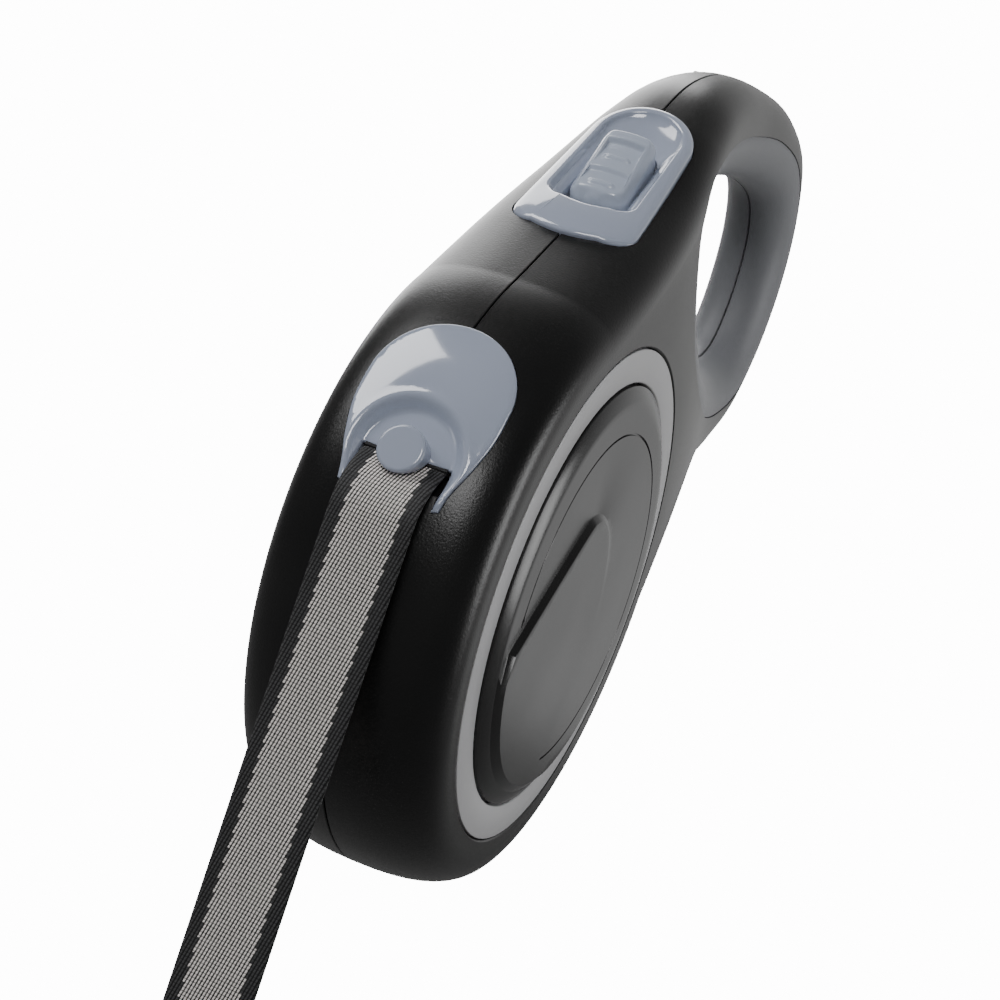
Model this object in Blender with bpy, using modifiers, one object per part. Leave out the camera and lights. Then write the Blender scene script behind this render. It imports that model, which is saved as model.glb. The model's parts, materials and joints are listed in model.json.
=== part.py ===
"""Retractable tape leash: a round spool case with a hand loop, a thumb brake and a swivel snap hook.

All dimensions are in millimetres and become metres when a mesh is made. Shapes are drawn in the case
frame, whose centre is the spool axis on the parting plane: X runs across the case, Y runs back to the
hand loop and Z runs up. The object's origin is the middle of the hand opening (GRIP).
"""

import math

import bmesh
import bpy
from mathutils import Matrix, Vector
from mathutils.geometry import delaunay_2d_cdt

MM = 0.001
GRIP = (0.0, 60.0, 58.0)
GAP = 0.3

# Case: a disc whose rim is rounded over to two flat sides, thinning towards the hand loop.
CASE_R = 47.8
DISC_HALF = 15.4
LOOP_HALF = 7.0
TAPER_FROM, TAPER_TO = 37.5, 100.5
RIM_W, BAR_W = 8.0, 9.1
RIM_ROUND, SIDE_ROUND = 0.67, 0.84
WALL = 2.4
CAVITY_HALF = 11.6
DISC_FROM, DISC_TO = -1.0, -238.0
HAND_OUTLINE = [
    (-13.4, 49.4), (1.1, 61.1), (14.4, 73.6), (25.4, 81.2), (40.0, 86.4), (58.0, 89.2), (76.5, 90.2),
    (94.4, 86.9), (106.8, 76.0), (112.2, 62.0), (110.8, 47.0), (103.0, 33.4), (88.9, 25.0), (71.5, 20.4),
    (54.8, 13.4),
]

# Hand opening, its soft liner and the seat of the liner in the case.
OPENING = [
    (20.2, 58.6), (26.7, 64.0), (37.1, 68.0), (52.3, 71.8), (70.1, 74.6), (86.8, 73.8), (96.0, 67.0),
    (98.6, 56.3), (95.4, 46.8), (85.8, 42.2), (70.0, 40.8), (56.1, 41.4), (41.4, 43.6), (26.5, 50.0),
]
LINER_W = 8.3
LINER_T = 1.8
LIP_HALF = 0.975
LINER_ROUND = 0.9
SEAT_WALL = 1.6

# Side trims: a flat ring flush with the side and a raised cap inside it.
RING_R, RING_IN = 38.0, 32.9
RECESS_R, RECESS_DEPTH = 38.4, 1.8
CAP_R, CAP_CHAMFER, CAP_RISE = 32.5, 2.2, 1.2
STEP_RISE = 0.9
TRIM_T = 1.5

# Spool, in the plane of the case frame.
HUB_R, HUB_BORE = 14.0, 10.6
PACK_R, TAPE_W, TAPE_T = 37.3, 12.0, 0.75
FLANGE_IN, FLANGE_T = 6.7, 1.2
TOOTH_ROOT, TOOTH_TIP, TEETH, TOOTH_PHASE = 39.8, 41.2, 36, 81.0
COVER_R = 40.0
AXLE_R = 3.0
ARBOR_R = 5.0
BOSS_R = 6.6
SPOOL_SCREW_R = 12.3

# Tape route from the pack to the outlet and down in front of the case.
EXIT_Y, EXIT_Z = -44.8, 12.6
TAPE_Y = -49.9
BEND_R = 8.5
STRAIGHT = 2.5
TAPE_END = -80.0
SLOT_W, SLOT_T = 13.2, 2.2
ROLLER = (-40.2, 13.4)
ROLLER_R, PIN_R = 1.5, 0.7

# Nose trim, drawn on the rim by angle round the spool axis.
TRIM_MID, TRIM_R = 150.4, 10.3
TRIM_TIP, TRIM_LEG = 171.0, 6.5
TRIM_LIP = 163.4
TRIM_UP, TRIM_DOWN = 0.5, 1.0
DISH_MID, DISH_R, DISH_FLOOR = 162.6, 8.1, 5.9
BOSS_FACE = 2.0
NOSE_BOSS_R = 3.0

# Brake: the bezel and button lie on the sloping shoulder, whose chord is the local "s" axis.
SHOULDER = (0.5, 61.5)
SHOULDER_SLOPE = 41.0
BEZEL_FRONT, BEZEL_BACK, BEZEL_W = -18.7, 18.7, 9.7
POCKET_FRONT, POCKET_BACK, POCKET_W = -10.7, 16.8, 6.7
BUTTON_FRONT, BUTTON_BACK, BUTTON_W = -7.6, 9.6, 4.7
LOCK = 2.4
TRAY_TOP, TRAY_BOTTOM = -2.6, -3.8
PAWL_PIN = (-6.5, 47.0)
PAWL_PIN_R = 1.2

# Snap hook below the tape, along Z at the tape's middle.
EYE_Z, EYE_R, EYE_HALF = -90.0, 1.5, 7.8
LOOP_Y = TAPE_Y + 0.55
BARREL_TOP, BARREL_END, BARREL_R = -101.0, -130.0, 4.2
BOLT_TOP, BOLT_TIP, BOLT_R, BOLT_TRAVEL = -121.0, -141.0, 1.5, 7.5
HOOK_R = 2.1

SCREW_SITES = [(46.5, 83.5), (95.2, 82.8), (95.0, 32.0), (44.0, 20.5)]
SCREW_BOSS_R, SCREW_HEAD_R, SCREW_R = 2.9, 2.3, 1.1

COLOURS = {
    "case_black": ((0.012, 0.012, 0.013), 0.42, 0.0),
    "trim_grey": ((0.28, 0.31, 0.37), 0.16, 0.0),
    "ring_grey": ((0.34, 0.35, 0.36), 0.45, 0.0),
    "cap_black": ((0.02, 0.02, 0.021), 0.25, 0.0),
    "grip_grey": ((0.13, 0.135, 0.145), 0.6, 0.0),
    "tape": ((0.30, 0.30, 0.29), 0.85, 0.0),
    "inner_plastic": ((0.55, 0.55, 0.53), 0.5, 0.0),
    "steel": ((0.6, 0.6, 0.6), 0.3, 1.0),
    "chrome": ((0.75, 0.75, 0.76), 0.12, 1.0),
    "spring_steel": ((0.35, 0.36, 0.38), 0.35, 1.0),
    "stopper_black": ((0.015, 0.015, 0.016), 0.5, 0.0),
}


def clear_scene():
    for obj in list(bpy.data.objects):
        bpy.data.objects.remove(obj)


def make_collection(name, hidden=False):
    collection = bpy.data.collections.new(name)
    bpy.context.scene.collection.children.link(collection)
    collection.hide_render = hidden
    return collection


def make_materials():
    made = {}
    for name, (colour, roughness, metallic) in COLOURS.items():
        material = bpy.data.materials.new(name)
        material.use_nodes = True
        shader = material.node_tree.nodes["Principled BSDF"]
        shader.inputs["Base Color"].default_value = (*colour, 1.0)
        shader.inputs["Roughness"].default_value = roughness
        shader.inputs["Metallic"].default_value = metallic
        made[name] = material
    return made


# Objects from meshes

def to_world(point):
    return Vector([(a - b) * MM for a, b in zip(point, GRIP)])


def add_object(name, data, material, at=(0.0, 0.0, 0.0)):
    """An object of the part, with its own origin at a point of the case frame."""
    obj = bpy.data.objects.new(name, data)
    obj.location = to_world(at)
    PARTS.objects.link(obj)
    data.materials.append(MATERIALS[material])
    return obj


def mesh_from(bm, name, at):
    bmesh.ops.recalc_face_normals(bm, faces=bm.faces)
    bmesh.ops.transform(bm, matrix=Matrix.Scale(MM, 4) @ Matrix.Translation(-Vector(at)), verts=bm.verts)
    mesh = bpy.data.meshes.new(name)
    bm.to_mesh(mesh)
    bm.free()
    mesh.shade_smooth()
    mesh.set_sharp_from_angle(angle=math.radians(35))
    return mesh


def solid(name, bm, material, at=(0.0, 0.0, 0.0)):
    return add_object(name, mesh_from(bm, name, at), material, at)


def cutter(name, bm):
    """A helper solid, used only by a Boolean."""
    obj = bpy.data.objects.new(name, mesh_from(bm, name, (0.0, 0.0, 0.0)))
    obj.location = to_world((0.0, 0.0, 0.0))
    obj.hide_render = True
    obj.display_type = "WIRE"
    CUTTERS.objects.link(obj)
    return obj


def combine(obj, tool, operation):
    modifier = obj.modifiers.new(tool.name, "BOOLEAN")
    modifier.operation = operation
    modifier.object = tool
    modifier.solver = "EXACT"


def cut(obj, *tools):
    for tool in tools:
        combine(obj, tool, "DIFFERENCE")


def join(obj, *tools):
    for tool in tools:
        combine(obj, tool, "UNION")


def turned(name, profile, material, at, axis="X"):
    """A turned solid from (radius, height) points. The axis is X or Z, through the point."""
    area = sum(a[0] * b[1] - b[0] * a[1] for a, b in zip(profile, profile[1:] + profile[:1]))
    points = profile[::-1] if area > 0 else profile
    mesh = bpy.data.meshes.new(name)
    pairs = [(i, (i + 1) % len(points)) for i in range(len(points))]
    edges = [(i, j) for i, j in pairs if points[i][0] > 0 or points[j][0] > 0]
    mesh.from_pydata([(r * MM, 0.0, h * MM) for r, h in points], edges, [])
    obj = add_object(name, mesh, material, at)
    if axis == "X":
        obj.rotation_euler = (0.0, math.pi / 2, 0.0)
    screw = obj.modifiers.new("turn", "SCREW")
    screw.steps = screw.render_steps = 48 if max(r for r, _ in points) > 8 else 20
    screw.use_merge_vertices = True
    screw.merge_threshold = 0.00001
    screw.use_smooth_shade = True
    return obj



# Bmesh shapes

def loft(loops, closed=False):
    """A solid through loops of equal length. It is capped at its ends, or closed into a ring."""
    bm = bmesh.new()
    rows = [[bm.verts.new(p) for p in loop] for loop in loops]
    pairs = list(zip(rows, rows[1:]))
    if closed:
        pairs.append((rows[-1], rows[0]))
    for a, b in pairs:
        for i in range(len(a)):
            j = (i + 1) % len(a)
            bm.faces.new((a[i], a[j], b[j], b[i]))
    if not closed:
        bm.faces.new(rows[0])
        bm.faces.new(rows[-1])
    return bm


def rod(start, end, radius, segments=32, end_radius=None):
    """A cylinder or cone between two points."""
    bm = bmesh.new()
    line = Vector(end) - Vector(start)
    middle = (Vector(start) + Vector(end)) / 2
    turn = line.to_track_quat("Z", "Y").to_matrix().to_4x4()
    last = radius if end_radius is None else end_radius
    bmesh.ops.create_cone(bm, cap_ends=True, segments=segments, radius1=radius, radius2=last,
                          depth=line.length, matrix=Matrix.Translation(middle) @ turn)
    return bm


def cross_rod(x0, x1, y, z, radius, segments=32):
    return rod((x0, y, z), (x1, y, z), radius, segments)


def block(low, high):
    bm = bmesh.new()
    bmesh.ops.create_cube(bm, size=1.0)
    size = [b - a for a, b in zip(low, high)]
    middle = [(a + b) / 2 for a, b in zip(low, high)]
    bmesh.ops.scale(bm, vec=size, verts=bm.verts)
    bmesh.ops.translate(bm, vec=middle, verts=bm.verts)
    return bm


def prism(outline, x0, x1):
    """A flat (y, z) outline extruded along X."""
    return loft([[(x0, y, z) for y, z in outline], [(x1, y, z) for y, z in outline]])


def tube(path, radius, segments=12, closed=False):
    """A round bar along a path that stays in one X-Z plane."""
    loops = []
    count = len(path)
    for i, point in enumerate(path):
        before = path[(i - 1) % count] if closed else path[max(i - 1, 0)]
        after = path[(i + 1) % count] if closed else path[min(i + 1, count - 1)]
        along = (Vector(after) - Vector(before)).normalized()
        across = Vector((0.0, 1.0, 0.0))
        up = along.cross(across)
        loops.append([
            Vector(point) + (across * math.cos(a) + up * math.sin(a)) * radius
            for a in (2 * math.pi * k / segments for k in range(segments))
        ])
    return loft(loops, closed)


# Plane curves in (y, z)

def smoothstep(value, low, high):
    t = min(max((value - low) / (high - low), 0.0), 1.0)
    return t * t * (3 - 2 * t)


def spline(points, steps, closed):
    """A Catmull-Rom curve through the points. An open one leaves out its first and last span."""
    count = len(points)
    spans = range(count) if closed else range(1, count - 2)
    curve = []
    for i in spans:
        p0, p1, p2, p3 = (points[(i + k) % count] for k in (-1, 0, 1, 2))
        for k in range(steps):
            t = k / steps
            curve.append(tuple(
                0.5 * (2 * b + (c - a) * t + (2 * a - 5 * b + 4 * c - d) * t * t
                       + (3 * b - a - 3 * c + d) * t ** 3)
                for a, b, c, d in zip(p0, p1, p2, p3)
            ))
    return curve


def on_circle(radius, degrees, centre=(0.0, 0.0)):
    a = math.radians(degrees)
    return (centre[0] + radius * math.cos(a), centre[1] + radius * math.sin(a))


def case_outline():
    """The parting line: the disc's arc from the back, round under the front, then the hand loop."""
    count = 33
    step = (DISC_TO - DISC_FROM) / (count - 1)
    arc = [on_circle(CASE_R, DISC_FROM + step * i) for i in range(count)]
    hand = spline(arc[-2:] + HAND_OUTLINE + arc[:2], 3, False)
    return arc + hand[1:]


def opening_outline():
    return spline(OPENING, 3, True)


def normals(loop):
    """Unit normals of a closed plane loop, pointing to its inside."""
    area = sum(a[0] * b[1] - b[0] * a[1] for a, b in zip(loop, loop[1:] + loop[:1]))
    side = 1.0 if area > 0 else -1.0
    found = []
    for i in range(len(loop)):
        before, after = loop[i - 1], loop[(i + 1) % len(loop)]
        dy, dz = after[0] - before[0], after[1] - before[1]
        length = math.hypot(dy, dz)
        found.append((-side * dz / length, side * dy / length))
    return found


def inset(loop, distances):
    """The loop moved inwards, by one distance or by a distance for each point."""
    if not isinstance(distances, list):
        distances = [distances] * len(loop)
    return [(p[0] + n[0] * d, p[1] + n[1] * d) for p, n, d in zip(loop, normals(loop), distances)]


# The case surface

def half_thickness(y, z):
    """From the parting plane to the flat side."""
    return DISC_HALF - (DISC_HALF - LOOP_HALF) * smoothstep(math.hypot(y, z), TAPER_FROM, TAPER_TO)


def edge_width(y, z):
    return RIM_W + (BAR_W - RIM_W) * smoothstep(math.hypot(y, z), 48.0, 70.0)


def edge_drop(x, half, width):
    """How far the rounded rim falls in from the parting line, at a distance x from the parting plane."""
    height = min(abs(x) / half, 1.0)
    turn = math.asin(height ** (1 / SIDE_ROUND))
    return width * (1 - math.cos(turn) ** RIM_ROUND)


def side_height(y, z, wall):
    height = half_thickness(y, z) - wall
    return min(height, CAVITY_HALF) if wall else height


def case_loops(wall, steps, base):
    """Loops of one rounded half, from the parting plane to the edge of its flat side."""
    outline = case_outline()
    rim = inset(outline, wall) if wall else outline
    widths = [edge_width(*p) - wall for p in outline]
    ends = inset(rim, widths)
    heights = [side_height(y, z, wall) for y, z in ends]
    loops = [[(base, y, z) for y, z in rim]]
    for k in range(1, steps + 1):
        turn = math.pi / 2 * k / steps
        fall = 1 - max(math.cos(turn), 0.0) ** RIM_ROUND
        level = inset(rim, [w * fall for w in widths])
        loops.append([(h * math.sin(turn) ** SIDE_ROUND, y, z) for h, (y, z) in zip(heights, level)])
    return loops


def inside(point, loop):
    odd = False
    for a, b in zip(loop, loop[1:] + loop[:1]):
        if (a[1] > point[1]) != (b[1] > point[1]):
            cross = a[0] + (point[1] - a[1]) * (b[0] - a[0]) / (b[1] - a[1])
            odd ^= point[0] < cross
    return odd


def side_cap(loop, wall, spacing):
    """Triangles over the flat side: its border and a grid of points, with the side's height at each."""
    border = [Vector((y, z)) for _, y, z in loop]
    shrunk = inset([tuple(p) for p in border], 0.5 * spacing)
    grid = []
    for i in range(-4, 9):
        for j in range(-4, 8):
            point = (i * spacing, j * spacing)
            if inside(point, shrunk):
                grid.append(Vector(point))
    count = len(border)
    edges = [(i, (i + 1) % count) for i in range(count)]
    points, _, faces, _, _, _ = delaunay_2d_cdt(border + grid, edges, [], 0, 1e-4, True)
    ring = [tuple(p) for p in border]
    kept = [face for face in faces if inside(sum((points[i] for i in face), Vector((0, 0))) / 3, ring)]
    return [(side_height(p.x, p.y, wall), p.x, p.y) for p in points], kept


def half_solid(side, wall, steps, base, spacing):
    """One half of the case as a solid, or of its cavity."""
    loops = case_loops(wall, steps, base)
    bm = bmesh.new()
    rows = [[bm.verts.new((side * x, y, z)) for x, y, z in loop] for loop in loops]
    for a, b in zip(rows, rows[1:]):
        for i in range(len(a)):
            j = (i + 1) % len(a)
            bm.faces.new((a[i], a[j], b[j], b[i]))
    bm.faces.new(rows[0])
    points, faces = side_cap(loops[-1], wall, spacing)
    top = [bm.verts.new((side * x, y, z)) for x, y, z in points]
    for face in faces:
        bm.faces.new([top[i] for i in face])
    bmesh.ops.remove_doubles(bm, verts=bm.verts, dist=0.01)
    return bm


# The hand opening and its liner

def liner_curve(inset_by, steps):
    """(offset out of the opening, share of the lip height) along the liner's rounded face."""
    curve = []
    for k in range(steps + 1):
        turn = math.pi / 2 * k / steps
        fall = 1 - max(math.cos(turn), 0.0) ** LINER_ROUND
        curve.append((inset_by + (LINER_W - inset_by) * fall, math.sin(turn) ** LINER_ROUND))
    return curve


def lip_heights():
    lip = inset(opening_outline(), -LINER_W)
    return [half_thickness(y, z) * LIP_HALF for y, z in lip]


def liner_solid(side):
    opening = opening_outline()
    heights = lip_heights()
    face, seat = [], []
    for offset, share in liner_curve(0.0, 5):
        loop = inset(opening, -offset)
        face.append([(side * max(h * share, GAP / 2), y, z) for h, (y, z) in zip(heights, loop)])
    for offset, share in liner_curve(LINER_T, 3):
        loop = inset(opening, -offset)
        seat.append([(side * max((h - LINER_T) * share, GAP / 2), y, z) for h, (y, z) in zip(heights, loop)])
    return loft(face + seat[::-1], closed=True)


def seat_plug(side, clearance):
    """What the liner's seat takes out of the case, or out of its cavity with the seat's wall added."""
    opening = opening_outline()
    heights = lip_heights()
    loops = [[(-side, y, z) for y, z in inset(opening, -LINER_T - clearance)]]
    for offset, share in liner_curve(LINER_T, 3)[1:]:
        loop = inset(opening, -offset - clearance)
        drop = LINER_T + clearance
        loops.append([(side * (h - drop) * share, y, z) for h, (y, z) in zip(heights, loop)])
    top = inset(opening, -LINER_W - clearance)
    loops.append([(side * 2 * DISC_HALF, y, z) for y, z in top])
    return loft(loops)


# The shoulder frame of the brake: s along the chord towards the hand loop, h outwards

def shoulder(x, s, h):
    a = math.radians(SHOULDER_SLOPE)
    return (x, SHOULDER[0] + s * math.cos(a) - h * math.sin(a), SHOULDER[1] + s * math.sin(a) + h * math.cos(a))


def shoulder_fall(x):
    half = half_thickness(*SHOULDER)
    return edge_drop(x, half, edge_width(*SHOULDER))


def oval(front, back, front_w, back_w, front_r, segments=48):
    """A (x, s) outline: a round back end and a blunter front end with rounded corners."""
    points = []
    quarter = segments // 4
    for k in range(quarter + 1):
        a = math.pi / 2 * k / quarter
        points.append((back_w * math.cos(a), back - back_w + back_w * math.sin(a)))
    for k in range(1, quarter + 1):
        a = math.pi / 2 + math.pi / 2 * k / quarter
        points.append((back_w * math.cos(a), back - back_w + back_w * math.sin(a)))
    bulge = 0.12 * front_w
    for k in range(quarter):
        a = math.pi + math.pi / 2 * k / (quarter - 1)
        points.append((-(front_w - front_r) + front_r * math.cos(a),
                       front + bulge + front_r + front_r * math.sin(a)))
    points.append((0.0, front))
    for k in range(quarter - 1):
        a = 1.5 * math.pi + math.pi / 2 * k / (quarter - 2)
        points.append(((front_w - front_r) + front_r * math.cos(a),
                       front + bulge + front_r + front_r * math.sin(a)))
    return points


def shoulder_loop(outline, height, follow=True, grow=0.0):
    """An (x, s) outline lifted into the case frame, following the rim's rounding across X if asked."""
    grown = inset(outline, -grow) if grow else outline
    return [shoulder(x, s, height - (shoulder_fall(x) if follow else 0.0)) for x, s in grown]


BEZEL = oval(BEZEL_FRONT, BEZEL_BACK, BEZEL_W, 8.2, 3.2)
POCKET = oval(POCKET_FRONT, POCKET_BACK, POCKET_W, 6.2, 3.0)
BUTTON = oval(BUTTON_FRONT, BUTTON_BACK, BUTTON_W, 4.4, 3.0)
BUTTON_SLOT = oval(BUTTON_FRONT - LOCK - 0.35, BUTTON_BACK + 0.4, BUTTON_W + 0.4, 4.8, 3.2)


# The nose frame: angle round the spool axis, x across, and height above the rim

def rim_point(degrees, x, height):
    radius = CASE_R - edge_drop(x, DISC_HALF, RIM_W) + height
    y, z = on_circle(radius, degrees)
    return (x, y, z)


def degrees_of(arc):
    return math.degrees(arc / CASE_R)


def trim_outline(grow=0.0):
    """(angle, x) of the nose trim: a round top, straight sides and two short legs beside the tape."""
    radius = TRIM_R + grow
    points = []
    for k in range(-9, 10):
        a = math.radians(k * 10)
        points.append((TRIM_MID - degrees_of(radius * math.cos(a)), radius * math.sin(a)))
    leg = TRIM_LEG - grow
    tip = TRIM_TIP + degrees_of(grow)
    right = [(TRIM_MID + 9.0, radius * 0.96), (tip - 4.5, radius * 0.85), (tip - 1.5, leg + 1.9 + 1.5 * grow),
             (tip, leg)]
    notch = [(TRIM_LIP, leg), (TRIM_LIP, 0.0)]
    left = [(a, -x) for a, x in (notch[:1] + right[::-1])]
    return points + right + notch + left


def trim_loop(outline, height):
    return [rim_point(a, x, height) for a, x in outline]


def nose_direction(degrees):
    y, z = on_circle(1.0, degrees)
    return Vector((0.0, y, z))


def dish_body(radius, low, high, spare=0.0):
    """A D-shaped block round the dish's axis: a circle that stops at the lip over the tape."""
    out = nose_direction(DISH_MID)
    down = Vector((0.0, -out.z, out.y))
    lip = CASE_R * math.radians(TRIM_LIP - DISH_MID) + spare
    spread = math.pi / 2 + math.asin(lip / radius)
    turns = [-spread + 2 * spread * k / 20 for k in range(21)]
    flat = [(radius * math.sin(a), -radius * math.cos(a)) for a in turns]
    return loft([[out * r + down * u + Vector((x, 0.0, 0.0)) for x, u in flat] for r in (low, high)])


# The tape's route in (y, z)

def tape_direction():
    """The straight run leaves the pack at a tangent and passes through the outlet."""
    pack = PACK_R + GAP + TAPE_T / 2
    reach = math.hypot(EXIT_Y, EXIT_Z)
    angle = math.degrees(math.atan2(EXIT_Z, EXIT_Y)) - math.degrees(math.acos(pack / reach))
    start = on_circle(pack, angle)
    run = Vector((EXIT_Y - start[0], EXIT_Z - start[1]))
    return start, run.normalized()


def lead_path():
    start, along = tape_direction()
    return [start, (EXIT_Y - along.x * GAP, EXIT_Z - along.y * GAP)]


def free_path():
    """Straight out of the outlet, one bend, then straight down to the loop of the hook."""
    _, along = tape_direction()
    first = Vector((EXIT_Y, EXIT_Z))
    bend = first + along * STRAIGHT
    heading = math.atan2(along.y, along.x) % (2 * math.pi)
    centre = bend + Vector((-math.sin(heading), math.cos(heading))) * BEND_R
    turn = 1.5 * math.pi - heading
    path = [tuple(first), tuple(first.lerp(bend, 0.5))]
    for k in range(7):
        a = heading - math.pi / 2 + turn * k / 6
        path.append((centre.x + BEND_R * math.cos(a), centre.y + BEND_R * math.sin(a)))
    low = path[-1][1]
    shift = TAPE_Y - path[-1][0]
    path = [(y + shift * smoothstep(-z, -EXIT_Z, -low), z) for y, z in path]
    runs = 4
    path += [(TAPE_Y, low + (TAPE_END - low) * (k + 1) / runs) for k in range(runs)]
    return path


def strip(path, width, thickness):
    """A flat tape along a (y, z) path."""
    loops = []
    for i, (y, z) in enumerate(path):
        before, after = path[max(i - 1, 0)], path[min(i + 1, len(path) - 1)]
        along = Vector((after[0] - before[0], after[1] - before[1])).normalized()
        ny, nz = -along.y * thickness / 2, along.x * thickness / 2
        half = width / 2
        loops.append([(-half, y + ny, z + nz), (half, y + ny, z + nz), (half, y - ny, z - nz),
                      (-half, y - ny, z - nz)])
    return loft(loops)


# Casing

def case_half(name, side):
    shell = solid(name, half_solid(side, 0.0, 5, GAP / 2, 14.0), "case_black")
    cavity = cutter(name + "_cavity", half_solid(side, WALL, 3, -1.0, 30.0))
    cut(cavity, cutter(name + "_seat_wall", seat_plug(side, GAP + SEAT_WALL)))
    recess_floor = DISC_HALF - RECESS_DEPTH
    recess = cutter(name + "_recess", cross_rod(side * recess_floor, side * 30, 0.0, 0.0, RECESS_R, 64))
    cut(shell, cavity, cutter(name + "_seat", seat_plug(side, GAP)), recess)
    add_bosses(shell, name, side)
    cut_nose(shell, name)
    cut_bezel_seat(shell, name)
    return shell


def add_bosses(shell, name, side):
    """Bosses for the axle, the pins and the screws, and their holes."""
    wall = CAVITY_HALF + 0.6
    boss = cutter(name + "_axle_boss", cross_rod(side * 8.3, side * wall, 0.0, 0.0, BOSS_R))
    bore = cutter(name + "_axle_bore", cross_rod(side * 8.0, side * 11.4, 0.0, 0.0, AXLE_R + GAP))
    join(shell, boss)
    cut(shell, bore)
    for label, (y, z), radius, reach in (("roller", ROLLER, PIN_R, 8.6), ("pawl", PAWL_PIN, PAWL_PIN_R, 9.2)):
        boss = cutter(f"{name}_{label}_boss", cross_rod(side * reach, side * wall, y, z, radius + 1.3, 20))
        bore = cutter(f"{name}_{label}_bore", cross_rod(side * 8.0, side * 10.6, y, z, radius + GAP, 20))
        join(shell, boss)
        cut(shell, bore)
    for i, (y, z) in enumerate(SCREW_SITES):
        top = half_thickness(y, z) - 1.0
        boss = cutter(f"{name}_screw_boss_{i}", cross_rod(side * GAP, side * top, y, z, SCREW_BOSS_R, 16))
        head = half_thickness(y, z)
        reach = 4.0 if side > 0 else head + 1.0
        hole = cutter(f"{name}_screw_hole_{i}", cross_rod(-side, side * reach, y, z, SCREW_R + GAP, 12))
        join(shell, boss)
        cut(shell, hole)
        if side < 0:
            sink = cross_rod(-head + 2.9, -head - 2, y, z, SCREW_HEAD_R + GAP, 16)
            cut(shell, cutter(f"{name}_screw_sink_{i}", sink))


def cut_nose(shell, name):
    """The pocket of the nose trim, its dish, and the tape's slot."""
    cut(shell, cutter(name + "_dish", dish_body(DISH_R + 0.6, CASE_R - 3.5, CASE_R + 4.0, 1.0)))
    outline = trim_outline(GAP)
    levels = [trim_loop(outline, -TRIM_DOWN - GAP), trim_loop(outline, 4.0)]
    cut(shell, cutter(name + "_trim_pocket", loft(levels)))
    start, along = tape_direction()
    up = Vector((0.0, along.y, -along.x))
    run = Vector((0.0, along.x, along.y))
    middle = Vector((0.0, EXIT_Y, EXIT_Z)) - up * 0.1
    corners = []
    for reach in (-5.0, 9.0):
        corners.append([middle + run * reach + Vector((SLOT_W / 2 * i, 0, 0)) + up * (SLOT_T / 2 * j)
                        for i, j in ((-1, -1), (1, -1), (1, 1), (-1, 1))])
    cut(shell, cutter(name + "_tape_slot", loft(corners)))


def cut_bezel_seat(shell, name):
    seat = loft([shoulder_loop(POCKET, -1.2, True, 0.6), shoulder_loop(BEZEL, -1.2, True, GAP),
                 shoulder_loop(BEZEL, 8.0, False, GAP)])
    cut(shell, cutter(name + "_bezel_seat", seat))
    well = loft([shoulder_loop(POCKET, -12.0, False, 0.9), shoulder_loop(POCKET, 8.0, False, 0.9)])
    cut(shell, cutter(name + "_bezel_well", well))


def case_screw(name, y, z):
    head = half_thickness(y, z)
    profile = [(0.0, -head + 0.8), (SCREW_HEAD_R, -head + 0.8), (SCREW_HEAD_R, -head + 2.5),
               (SCREW_R, -head + 2.5), (SCREW_R, 3.4), (0.0, 3.4)]
    return turned(name, profile, "steel", (0.0, y, z))


# Side trims

def side_ring(name, side):
    low, high = DISC_HALF - TRIM_T, DISC_HALF
    profile = [(RING_IN, side * low), (RING_IN, side * high), (RING_R, side * high), (RING_R, side * low)]
    return turned(name, profile, "ring_grey", (0.0, 0.0, 0.0))


def step_outline():
    """The raised panel of a side cap: a straight front edge, a rounded tip and the cap's arc."""
    arc = [on_circle(CAP_R - CAP_CHAMFER - 0.8, a) for a in range(-157, -70, 12)]
    curve = spline([arc[0], (-19.0, -2.0), (-7.8, 9.6), (-2.4, 10.6), (3.6, 7.0), (9.0, -3.0), (11.0, -14.0),
                    arc[-1], arc[-2]], 3, False)
    return arc + curve[::-1]


def side_cap_trim(name, side):
    low, edge = DISC_HALF - TRIM_T, DISC_HALF + 0.3
    top = DISC_HALF + CAP_RISE
    profile = [(0.0, side * low), (0.0, side * top), (CAP_R - CAP_CHAMFER, side * top), (CAP_R, side * edge),
               (CAP_R, side * low)]
    cap = turned(name, profile, "cap_black", (0.0, 0.0, 0.0))
    panel = prism(step_outline(), side * (top - 0.8), side * (top + STEP_RISE))
    join(cap, cutter(name + "_panel", panel))
    return cap


# Spool

def ratchet_outline():
    """Saw teeth round the flange: a gap, a sloping back, a short tip and a steep face that the pawl stops."""
    points = []
    pitch = 360.0 / TEETH
    for i in range(TEETH):
        a = TOOTH_PHASE + pitch * i
        points += [on_circle(TOOTH_ROOT, a), on_circle(TOOTH_ROOT, a + 0.54 * pitch),
                   on_circle(TOOTH_TIP, a + 0.72 * pitch), on_circle(TOOTH_TIP, a + 0.96 * pitch)]
    return points


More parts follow.
